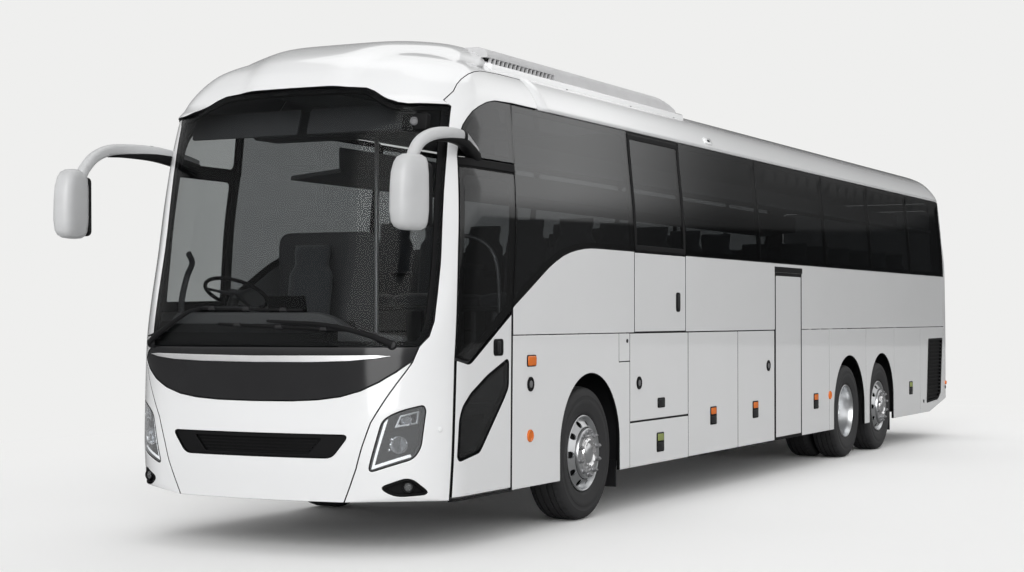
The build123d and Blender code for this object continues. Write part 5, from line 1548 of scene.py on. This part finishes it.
for side, hand in HANDS:
    kits = {}

    def kit_on(body):
        return kits.setdefault(body.format(hand=hand), Kit(SEAL, TRIM, AMBER, GREEN, STEEL))

    for body, y, z, reflector in LATCHES:
        kit = kit_on(body)
        high = LATCH_SIZE[1] if reflector is None else 0.166
        fitting(kit, y, z, side, (LATCH_SIZE[0] + 0.01, high), 0.01, 0.006, 0.018)
        fitting(kit, y, z - (0 if reflector is None else 0.036), side, (LATCH_SIZE[0] - 0.02, 0.066), 0.006,
            0.01, 0.014, 1)
        if reflector:
            fitting(kit, y, z + 0.042, side, (LATCH_SIZE[0] - 0.02, 0.06), 0.006, 0.011, 0.012,
                2 if reflector == "amber" else 3, 0.004)
    for body, y, z in LOCKS:
        round_fitting(kit_on(body), y, z, side, 0.054, 0.01, 0, 4)
    for y, z, kind in LAMPS:
        kit = kits["coach"]
        if kind == "square":
            fitting(kit, y, z, side, (0.15, 0.086), 0.008, 0.006, 0.02, 0)
            fitting(kit, y, z, side, (0.134, 0.072), 0.01, 0.013, 0.02, 2, 0.005)
        else:
            round_fitting(kit, y, z, side, 0.046 if kind == "round" else 0.026, 0.014, 2, 2)
    for y, z, radius in ((0.752, 1.392, 0.016), (11.7, 0.64, 0.024), (10.524, 0.496, 0.022)):
        round_fitting(kits["coach"], y, z, side, radius, 0.006, 0, 1)
    for body, kit in kits.items():
        kit.make(f"fittings_{body}", body)
    vent = Kit(WHITE, SEAL)
    fitting(vent, 2.9, 3.22, side, (0.18, 0.068), 0.012, 0.01, 0.02, 0, 0.004)
    fitting(vent, 2.9, 3.22, side, (0.06, 0.024), 0.006, 0.014, 0.01, 1, 0.002)
    vent.make(f"rail_vent_{hand}", slot="paint")
    for number, shape in FLAPS.items():
        seal_ring(f"flap_seal_{number}_{hand}", shape, inner=0.007, outer=0.01, depth=0.008)
    grille_edge = facing_out(laid("side", rounded(GRILLE, 0.03), side))
    black_panel(f"grille_frame_{hand}", [grille_edge, inward(grille_edge, 0.022)], thick=0.03, depth=-0.003,
        gap=0.0, roll=0.003, grid=(1, 1))
    backing(f"grille_back_{hand}", [grille_edge], 0.026, (0.4, 0.2))
    for row in range(17):
        z = 0.52 + 0.047 * row
        front = 10.72 + 0.1 * (z - 0.468) / 0.833
        low_end = 11.3 + 0.13 * min(1, (z - 0.492) / 0.076)
        rear_end = low_end if z < 0.568 else 11.44 + 0.1 * (z - 0.568) / 0.734
        slat = block(front + 0.015, rear_end - 0.02, z, z + 0.016)
        black_panel(f"grille_slat_{row}_{hand}", [laid("side", slat, side)], thick=0.02, depth=0.003,
            gap=0.0, roll=0.002)
print("flap fittings and grilles made")

# %% Fittings of the doors
seal_ring("exit_seal_left", block(EXIT_FRONT, EXIT_REAR, BELT, EXIT_TOP), inner=0.01, outer=0.012,
    depth=0.0085)
seal_ring("mid_seal_left", block(MID_FRONT, MID_REAR, SILL, MID_TOP), inner=0.027, outer=0.0, depth=0.002)
black_panel("mid_door_header", [laid("side", block(MID_FRONT - 0.01, MID_REAR + 0.01, 2.04, 2.096))],
    thick=0.008, depth=-0.005, gap=0.0, roll=0.003, grid=(0.5, 0.5))
exit_handle = Kit(SEAL, TRIM)
fitting(exit_handle, 1.885, 1.718, 1, (0.095, 0.17), 0.012, 0.006, 0.035)
fitting(exit_handle, 1.885, 1.718, 1, (0.04, 0.13), 0.012, 0.014, 0.018, 1, 0.005)
exit_handle.make("exit_door_handle", "emergency_door_body")
black_panel("exit_pane_frame", [laid("side", inset(exit_pane, 0.012)),
    laid("side", inset(exit_pane, 0.055))], "emergency_door_body", thick=0.008, depth=-0.004, gap=0.0,
    roll=0.003)
print("side fittings made")

# %% [markdown]
# Seat cushions and backs start as lofted closed forms a little too small. A short cloth simulation
# under pressure puffs one of each up, and the result is repeated along the saloon with its frames.

# %% Soft forms
FLOOR, CAB_FLOOR = 1.33, 0.96
SEAT_PITCH, FIRST_ROW, SEAT_ROWS = 0.82, 0.06, 13
AISLE, SEAT_PAIR = 0.19, 0.9


def soft_form(sections, power):
    """Rows of a closed lofted form from (centre, half width, half depth) at each section."""
    rows = []
    for (x, y, z), half_x, half_y in sections:
        rows.append([Vector((x + u, y + v, z)) for u, v in ring_of(half_x, half_y, 32, power)])
    return rows


def puffed(made, reach):
    """Blow the piece up under a short cloth simulation, moving no point further than the reach."""
    before = np.array([tuple(v.co) for v in made.data.vertices])
    cloth = made.modifiers.new("puff", "CLOTH")
    cloth.settings.effector_weights.gravity = 0
    for key, value in (("quality", 5), ("mass", 0.3), ("tension_stiffness", 15), ("use_pressure", True),
            ("uniform_pressure_force", 4)):
        setattr(cloth.settings, key, value)
    for step in range(1, 21):
        bpy.context.scene.frame_set(step)
    solved = made.evaluated_get(bpy.context.evaluated_depsgraph_get())
    after = np.array([tuple(v.co) for v in solved.data.vertices])
    move = after - before
    far = np.linalg.norm(move, axis=1)[:, None]
    after = before + move * np.minimum(1, reach / np.maximum(far, 1e-9))
    made.modifiers.remove(cloth)
    bpy.context.scene.frame_set(1)
    made.data.vertices.foreach_set("co", after.ravel())
    made.data.update()
    return [tuple(v.co) for v in made.data.vertices], [tuple(p.vertices) for p in made.data.polygons]


def soft_shape(name, rows, reach):
    """Points and faces of one puffed form; the piece that was simulated is removed again."""
    kit = Kit(CLOTH)
    kit.rows(rows, 0, caps=False)
    n = len(rows[0])
    for row, first in ((rows[0], 0), (rows[-1], (len(rows) - 1) * n)):
        middle = sum(row, Vector()) / n
        kit.verts.append(tuple(middle))
        centre = len(kit.verts) - 1
        kit.faces += [(centre, first + (k + 1) % n, first + k) for k in range(n)]
        kit.slots += [0] * n
    made = add_mesh(name, kit.verts, kit.faces, [CLOTH])
    mended(made)
    found = puffed(made, reach)
    bpy.data.objects.remove(made)
    return found


def cushion_rows(half_x, start, end, low, high):
    """Seat cushion lofted upward: full in its middle, pulled in at top and bottom."""
    middle_y, half_y = (start + end) / 2, (end - start) / 2
    shares = [(0.0, 0.9), (0.1, 0.96), (0.35, 1.0), (0.65, 1.0), (0.85, 0.965), (0.96, 0.9), (1.0, 0.8),
        (1.01, 0.45)]
    return soft_form([((0, middle_y, low + (high - low) * t), half_x * s, half_y * s) for t, s in shares],
        4)


def back_rows(half_x, foot, head, thick):
    """Seat back lofted up its slope, with sewn channels and a narrower head."""
    rows = []
    for t in np.arange(27) / 26:
        y, z = foot[0] + (head[0] - foot[0]) * t, foot[1] + (head[1] - foot[1]) * t
        width = half_x * (1.0 if t < 0.72 else 1.0 - 0.22 * min(1, (t - 0.72) / 0.08))
        channel = 1.0 - 0.1 * (abs(math.sin(math.pi * t * 6)) < 0.22) * (0.1 < t < 0.72)
        end = min(1.0, 0.55 + 6 * t, 0.45 + 8 * (1 - t))
        rows.append(((0, y, z), width * (0.9 + 0.1 * end), thick / 2 * end * channel))
    return soft_form(rows, 3.6)


def placed_copies(name, shape, places):
    """One padded piece made of the shape repeated at these places."""
    verts, faces = shape
    kit = Kit(CLOTH)
    for place in places:
        kit.add([Vector(v) + Vector(place) for v in verts], faces)
    made = fixed_to(add_mesh(name, kit.verts, kit.faces, [CLOTH]), "coach")
    return made


print("soft form makers ready")

# %% [markdown]
# The seats stand in pairs on both sides of the aisle, with none over the stair of the mid door.
# Their frames, legs and backs are swept from rounded sections.

# %% Seats
cushion = soft_shape("cushion_form", cushion_rows(0.206, 0.03, 0.425, 0.345, 0.44), 0.022)
back = soft_shape("back_form", back_rows(0.206, (0.5, 0.335), (0.6, 1.095), 0.066), 0.022)
rows_y = [FIRST_ROW + SEAT_PITCH * k for k in range(SEAT_ROWS)]
MID_STAIR = (MID_FRONT - 0.66, MID_REAR + 0.01)
SEAT_MIDDLES = (AISLE + SEAT_PAIR * 0.25, AISLE + SEAT_PAIR * 0.75)
for side, hand in HANDS:
    places_y = [y for y in rows_y if side < 0 or not MID_STAIR[0] < y < MID_STAIR[1]]
    places = [(side * x, at(y), FLOOR) for y in places_y for x in SEAT_MIDDLES]
    pads = placed_copies(f"seat_cushions_{hand}", cushion, places)
    placed_copies(f"seat_backs_{hand}", back, places)
    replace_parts(pads, f"seats_{hand}")
    frames = Kit(CABIN_DARK, STEEL)
    for y in places_y:
        inner, outer = side * (AISLE + 0.006), side * (AISLE + SEAT_PAIR - 0.006)
        for x in (inner + side * 0.12, outer - side * 0.12):
            frames.swept(placed([(x, y + 0.26, FLOOR), (x, y + 0.26, FLOOR + 0.335)]),
                ring_of(0.035, 0.09, 12, 4), 1, up=ALONG)
        frames.swept(placed([(inner, y + 0.235, FLOOR + 0.325), (outer, y + 0.235, FLOOR + 0.325)]),
            ring_of(0.16, 0.018, 12, 5), 0)
        for x in (inner, side * (AISLE + SEAT_PAIR / 2), outer):
            frames.swept(placed([(x, y + 0.13, FLOOR + 0.615), (x, y + 0.5, FLOOR + 0.625)]),
                ring_of(0.02, 0.018, 12, 3), 0)
        ends = side * (AISLE + 0.08), side * (AISLE + SEAT_PAIR - 0.08)
        frames.swept(placed([(x, y + 0.575, FLOOR + 0.6) for x in ends]), ring_of(0.012, 0.24, 12, 5), 0)
    frames.make(f"seat_frames_{hand}", slot="grey_trim")
print("seats made:", len(rows_y), "rows a side at most")

# %% [markdown]
# The cab has the driver's seat before a rounded partition, the wheel on its column, a binnacle on
# the dashboard, grab rails and a small camera under the dome.

# %% Cab
DRIVER_X, DRIVER_Y = -0.7, -1.52
driver_cushion = soft_shape("driver_form", cushion_rows(0.225, 0.02, 0.43, 0.345, 0.44), 0.022)
driver_back = soft_shape("driver_back_form", back_rows(0.215, (0.5, 0.335), (0.612, 1.215), 0.085), 0.022)
driver_place = [(DRIVER_X, at(DRIVER_Y), CAB_FLOOR)]
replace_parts(placed_copies("driver_cushion", driver_cushion, driver_place), "driver_seat")
placed_copies("driver_back", driver_back, driver_place)
seat_stand = Kit(CABIN_DARK, SEAL)
foot = Vector((DRIVER_X, at(DRIVER_Y + 0.26), CAB_FLOOR))
seat_stand.swept([foot, foot + Vector((0, 0, 0.06)), foot + Vector((0, 0, 0.27)),
    foot + Vector((0, 0, 0.335))], ring_of(0.17, 0.15, 20, 5), 0, [1.0, 0.9, 0.85, 1.1], up=ALONG)
for x in (-0.235, 0.235):
    arm = [foot + Vector((x, 0.22, 0.62)), foot + Vector((x, 0.1, 0.64)), foot + Vector((x, -0.12, 0.645))]
    seat_stand.swept(curve_through(arm, 6), ring_of(0.026, 0.022, 14, 3), 1)
seat_stand.make("driver_seat_stand", slot="grey_trim")
print("driver's seat made")

# %% Partition, poles and rails
partition = Kit(CABIN_DARK, STEEL)
partition.plate(rounded(block(-0.45, 0.45, 0, 0.92), 0.12, 8), (DRIVER_X + 0.05, at(-0.8), FLOOR + 0.01),
    ACROSS, UP, 0.03, 0.008, 0)
POLES = [(-0.19, -0.79, 3.05), (0.475, -0.79, 2.2), (0.475, 4.5, 2.2)]
for x, y, top in POLES:
    partition.turned([(0, 0.034), (0.01, 0.034), (0.014, 0.017), (top - FLOOR, 0.017)], (x, at(y), FLOOR),
        UP, 1, 24)
rail = placed([(0.475, -0.79, 2.195), (0.62, -0.79, 2.205), (0.8, -0.79, 2.12), (0.88, -0.79, 1.9),
    (0.9, -0.79, FLOOR)])
partition.swept(curve_through(rail, 8), ring_of(0.016, 0.016, 16), 1, up=ALONG)
grab = placed([(-1.005, -2.21, 1.49), (-1.0, -2.205, 1.7), (-0.995, -2.15, 1.88), (-1.03, -2.04, 1.985),
    (-1.12, -1.96, 2.06)])
partition.swept(curve_through(grab, 8), ring_of(0.024, 0.02, 16), 0, up=ALONG)
partition.make("cab_partition", slot="grey_trim")
print("partition made")

# %% Steering wheel
WHEEL_PLACE, WHEEL_TILT = Vector((DRIVER_X - 0.03, at(-1.9), 1.77)), math.radians(28)
wheel_axis = Vector((0, math.sin(WHEEL_TILT), math.cos(WHEEL_TILT)))
wheel_up = Vector((0, math.cos(WHEEL_TILT), -math.sin(WHEEL_TILT)))
steer = Kit(SEAL, CABIN_DARK)


def spoke_way(turn):
    """Direction from the steering wheel's middle to its rim at this turn."""
    return Vector(ACROSS) * math.cos(turn) + wheel_up * math.sin(turn)


rows = []
for k in range(72):
    outward = spoke_way(2 * math.pi * k / 72)
    rows.append([WHEEL_PLACE - wheel_axis * 0.009 + outward * (0.235 + 0.0145 * u) + wheel_axis * 0.0145 * v
        for u, v in ring_of(1, 1, 14)])
steer.rows(rows, 0, loop=True)
for turn in (math.radians(200), math.radians(340), math.radians(90)):
    outward = spoke_way(turn)
    steer.swept([WHEEL_PLACE + outward * 0.04 - wheel_axis * 0.016,
        WHEEL_PLACE + outward * 0.14 - wheel_axis * 0.014,
        WHEEL_PLACE + outward * 0.228 - wheel_axis * 0.01], ring_of(0.022, 0.007, 14, 3), 1,
        [1.3, 0.9, 0.8], up=wheel_axis)
steer.turned([(-0.16, 0.018), (-0.03, 0.018), (-0.028, 0.052), (-0.012, 0.066), (-0.002, 0.062),
    (0.003, 0.045), (0.004, 0.004)], WHEEL_PLACE, wheel_axis, 1, 40)
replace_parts(steer.make("steering_wheel_dressed", "steering_wheel_body"), "steering_wheel")
print("steering wheel made")

# %% Dashboard, blinds and destination box
dash = Kit(CABIN, CABIN_DARK, SEAL)
hood = [(-0.3, 1.552), (-0.28, 1.64), (-0.18, 1.668), (0.18, 1.668), (0.28, 1.64), (0.3, 1.552)]
dash.plate(hood, (WHEEL_PLACE.x, at(-2.07), 0.0), ACROSS, UP, 0.16, 0.01, 1)
dash.plate(rounded(taper(0.255, 0.235, 1.565, 1.645), 0.02), (WHEEL_PLACE.x, at(-2.068), 0.0), (-1, 0, 0),
    UP, 0.004, 0.001, 2)
dash.plate(rounded_box(0.16, 0.09, 0.015), (-0.18, at(-2.035), 1.655), (-1, 0, 0), (0, -0.25, 1), 0.02,
    0.004, 2)
for x in (-1.02, -0.42, -0.05, 0.25):
    spot = Vector((x, at(-2.115), 1.556))
    dash.turned([(-0.005, 0.036), (0.006, 0.036), (0.009, 0.03), (0.006, 0.026)], spot, (0, 0.1, 1), 2, 28)
cowl = [(-1.03, 1.372), (0.92, 1.372), (0.93, 1.455), (0.5, 1.5), (0.36, 1.585), (0.22, 1.622),
    (-0.98, 1.622), (-1.03, 1.59)]
dash.plate(rounded(cowl, 0.06), (0, at(-2.29), 0.0), ACROSS, UP, 0.07, 0.022, 0)
dash.make("dash_fittings")

look = Kit(SEAL, LENS_CLEAR, CABIN)
look_point, look_out = on_skin("front", 0.985, 2.93)
look.plate(rounded_box(0.1, 0.06, 0.02), look_point - look_out * 0.02, ACROSS, (0, 0.15, 1), 0.05, 0.01, 0)
look.turned([(0, 0.03), (0.012, 0.029), (0.018, 0.02), (0.012, 0.015)], look_point - look_out * 0.02,
    look_out, 2, 28)
look.make("cab_camera")
for name, x0, x1 in (("visor_driver", -0.98, -0.06), ("visor_guide", 0.02, 0.9)):
    visor = Kit(CABIN_DARK)
    visor.plate(rounded(block(x0, x1, -0.1, 0.1), 0.02), (0, at(-2.08), 2.985), ACROSS, (0, 0.35, 1), 0.012,
        0.003, 0)
    visor.make(name, slot="grey_trim")
ceiling = Kit(CABIN_DARK)
ceiling.plate(rounded(taper(1.02, 0.98, 0, 0.2), 0.05), (0, at(-1.3), 2.96), ACROSS, UP, 0.3, 0.02, 0)
ceiling.make("destination_box", slot="grey_trim")
print("cab made")

# %% [markdown]
# The rear has stacked round lamps behind a dark lens, a louvred engine lid with its handle, a blank
# plate recess and small reflectors.

# %% Fittings of the rear
for side, hand in HANDS:
    edge = facing_out(laid("rear", mirrored_x(rounded(TAIL_LAMP, 0.03), side)))
    cover = panel(f"tail_lamp_cover_{hand}", [edge], slot="lamp_red", rear=True, thick=0.004, gap=0.003,
        roll=0.0015, grid=(0.05, 0.08), materials=(LENS_RED, LENS_RED))
    backing(f"tail_lamp_back_{hand}", [edge], 0.034, (0.1, 0.2), rear=True)
    stack = Kit(CHROME, LENS_RED, AMBER, LENS_CLEAR, SEAL)
    for z, lens_material in ((1.48, 1), (1.35, 2), (1.22, 1), (1.09, 3), (0.96, 1), (0.84, 1)):
        point, out = on_skin("rear", side * 1.095, z)
        stack.turned([(-0.03, 0.04), (-0.008, 0.052), (-0.004, 0.048), (-0.01, 0.04)], point, out, 0, 32)
        stack.turned([(-0.028, 0.038), (-0.016, 0.034), (-0.01, 0.018), (-0.009, 0.003)], point, out,
            lens_material, 28)
    stack.make(f"tail_lamp_units_{hand}", slot="lamp_red")
    if side > 0:
        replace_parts(cover, "tail_lamps")
    for x, z, width, high in ((0.98, 0.61, 0.05, 0.03), (0.8, 3.1, 0.04, 0.012)):
        point, out = on_skin("rear", side * x, z)
        marker = Kit(LENS_RED, SEAL)
        up = Vector(UP) - out * out.z
        marker.plate(rounded_box(width, high, 0.012), point + out * 0.006, up.cross(out), up, 0.01, 0.003,
            0, 1)
        marker.make(f"rear_marker_{int(z * 100)}_{hand}", slot="lamp_red")
for row in range(9):
    z = 1.0 + 0.042 * row
    black_panel(f"lid_slat_{row}", [laid("rear", rounded(block(-0.7, 0.7, z, z + 0.02), 0.008))],
        "engine_lid_body", rear=True, thick=0.006, depth=-0.002, gap=0.0, roll=0.002)
lid_kit = Kit(SEAL, TRIM, WHITE)
# height, half width, half height, corner, how far out, thickness, bevel, material: handle and plate recess
LID_PLATES = [
    (0.64, 0.11, 0.03, 0.02, 0.004, 0.008, 0.002, 0),
    (0.64, 0.085, 0.012, 0.01, 0.0065, 0.006, 0.002, 1),
    (0.83, 0.27, 0.065, 0.012, 0.004, 0.006, 0.002, 0),
    (0.83, 0.26, 0.055, 0.01, 0.006, 0.003, 0.001, 2),
]
for z, half_x, half_z, corner, lift, thick, bevel, material in LID_PLATES:
    point, out = on_skin("rear", 0, z)
    lid_kit.plate(rounded_box(half_x, half_z, corner), point + out * lift, (-1, 0, 0), UP, thick, bevel,
        material)
lid_kit.make("engine_lid_fittings", "engine_lid_body")
print("rear fittings made")

# %% [markdown]
# What is left of the construction keeps its own solids and takes a finish by its material slot.

# %% Finishes of the construction
BY_SLOT = {"paint": WHITE, "glass": SIDE_GLASS, "dark_plastic": TRIM, "frame_steel": UNDER,
    "tyre_rubber": RUBBER, "rim_alloy": ALLOY, "floor_sheet": FLOOR_VINYL, "seat_cloth": CLOTH,
    "grey_trim": CABIN, "lamp_clear": LENS_CLEAR, "lamp_red": LENS_RED}
slot_of = {part["node"]: part["material_slot"] for part in frame["record"]["subparts"]}
for name, node in nodes.items():
    node.data.materials.clear()
    node.data.materials.append(BY_SLOT[slot_of[name]])
print("finished nodes:", len(slot_of))

# %% [markdown]
# The stage is a wide pale floor under an even pale surround. The surround looks bright to the
# camera and in reflections, and gives a lower, plain light to the coach itself.

# %% Stage, light and camera
PAPER = (0.863, 0.863, 0.855)      # the surround as the camera sees it
STAGE_REACH = 80.0
SUN_WIDTH = math.radians(55)       # wide lamps, for soft shadows
KEY_FROM = Vector((0.34, -0.889, 0.32))
BACK_FROM = Vector((-0.1, 0.49, 0.87))


def pale_floor():
    """A plain floor that catches the shadow near the coach and fades to the surround far from it."""
    tree = Tree("pale_floor")
    cloud = tree.noise(0.4, 2.0)
    seen = tree.node("ShaderNodeLightPath", out="Is Camera Ray")
    bright = tree.mix(cloud, (0.945, 0.945, 0.94), (0.965, 0.965, 0.96))
    mirrored = tree.node("ShaderNodeLightPath", out="Is Glossy Ray")
    unseen = tree.mix(mirrored, (0.62, 0.62, 0.62), (0.22, 0.22, 0.22))
    plain = tree.skin(Base_Color=tree.mix(seen, unseen, bright), Roughness=0.7, Specular_IOR_Level=0.1)
    apart = tree.node("ShaderNodeVectorMath", {"operation": "LENGTH"},
        {0: tree.node("ShaderNodeMapping", {}, {"Vector": tree.place(), "Scale": (1 / 9, 1 / 16, 1)})},
        "Value")
    fade = tree.node("ShaderNodeMapRange", {"interpolation_type": "SMOOTHSTEP"},
        {"Value": apart, "From Min": 0.45, "From Max": 1.0})
    shown = tree.node("ShaderNodeEmission", {}, {"Color": (*PAPER, 1), "Strength": 1.0})
    return tree.finish(tree.node("ShaderNodeMixShader", {}, {0: fade * seen, 1: plain, 2: shown}))


corners = [(x, y, 0) for x, y in block(-STAGE_REACH, STAGE_REACH, -STAGE_REACH, STAGE_REACH)]
ground = add_mesh("ground", corners, [(0, 1, 2, 3)], [pale_floor()])
print("floor made")

# %% Surround and lamps
def surround():
    """Pale to the camera, plain soft light on the coach, and shaded like a studio in reflections."""
    tree = Tree("surround", bpy.data.worlds, "ShaderNodeOutputWorld")
    way = tree.node("ShaderNodeTexCoord", out=0)

    def ramp(axis, start, end, low, high):
        part = tree.node("ShaderNodeSeparateXYZ", {}, {0: way}, out=axis)
        return tree.node("ShaderNodeMapRange", {"interpolation_type": "SMOOTHSTEP"},
            {"Value": part, "From Min": start, "From Max": end, "To Min": low, "To Max": high})

    def light(colour, strength):
        return tree.node("ShaderNodeBackground", {}, {"Color": (*colour, 1), "Strength": strength})

    shown = light(PAPER, 1.0)
    studio = ramp("Z", 0.094, 0.103, 0.18, 1.0) * ramp("Z", 0.103, 0.146, 0.42, 1.0)
    studio = studio * ramp("Y", -0.9, 0.2, 1.3, 1.0)
    studio = studio * ramp("Y", 0.82, 0.89, 1.0, 1.45) * ramp("Y", 0.9, 0.94, 1.0, 0.14)
    studio = studio - studio * (ramp("Y", 0.2, 0.6, 0.0, 0.7) * ramp("X", -0.2, 0.2, 1.0, 0.0))
    studio = studio * ramp("Z", 0.3, 0.72, 1.0, 0.42)
    found = light((1, 1, 1), ramp("Z", 0.15, 0.85, 0.95, 0.42) * ramp("X", 0.0, 0.8, 1.0, 1.15))
    for kind, other in (("Is Camera Ray", shown), ("Is Glossy Ray", light((1, 1, 1), studio)),
            ("Is Transmission Ray", shown)):
        found = tree.node("ShaderNodeMixShader", {}, {0: tree.node("ShaderNodeLightPath", out=kind),
            1: found, 2: other})
    return tree.finish(found)


bpy.context.scene.world = surround()

for name, came_from, energy in (("key", KEY_FROM, 2.05), ("back_light", BACK_FROM, 0.6)):
    lamp = bpy.data.objects.new(name, bpy.data.lights.new(name, "SUN"))
    lamp.data.energy, lamp.data.angle = energy, SUN_WIDTH
    lamp.rotation_euler = came_from.to_track_quat("Z", "Y").to_euler()
    bpy.context.scene.collection.objects.link(lamp)
print("lamps made")

# %% Camera and sizes
CAMERA_PLACE = (7.1655, FRONT_AXLE - 13.0159, 1.5903)
CAMERA_TILT, CAMERA_TURN = math.radians(90.968), math.radians(26.778)
camera_data = bpy.data.cameras.new("camera")
camera_data.lens, camera_data.sensor_width, camera_data.clip_end = 64.01, 36.0, 300
camera = bpy.data.objects.new("camera", camera_data)
bpy.context.scene.collection.objects.link(camera)
camera.location = CAMERA_PLACE
camera.rotation_euler = (CAMERA_TILT, 0, CAMERA_TURN)
bpy.context.scene.camera = camera
bpy.context.scene.view_settings.view_transform = "Standard"
print("camera at", [round(v, 3) for v in CAMERA_PLACE])
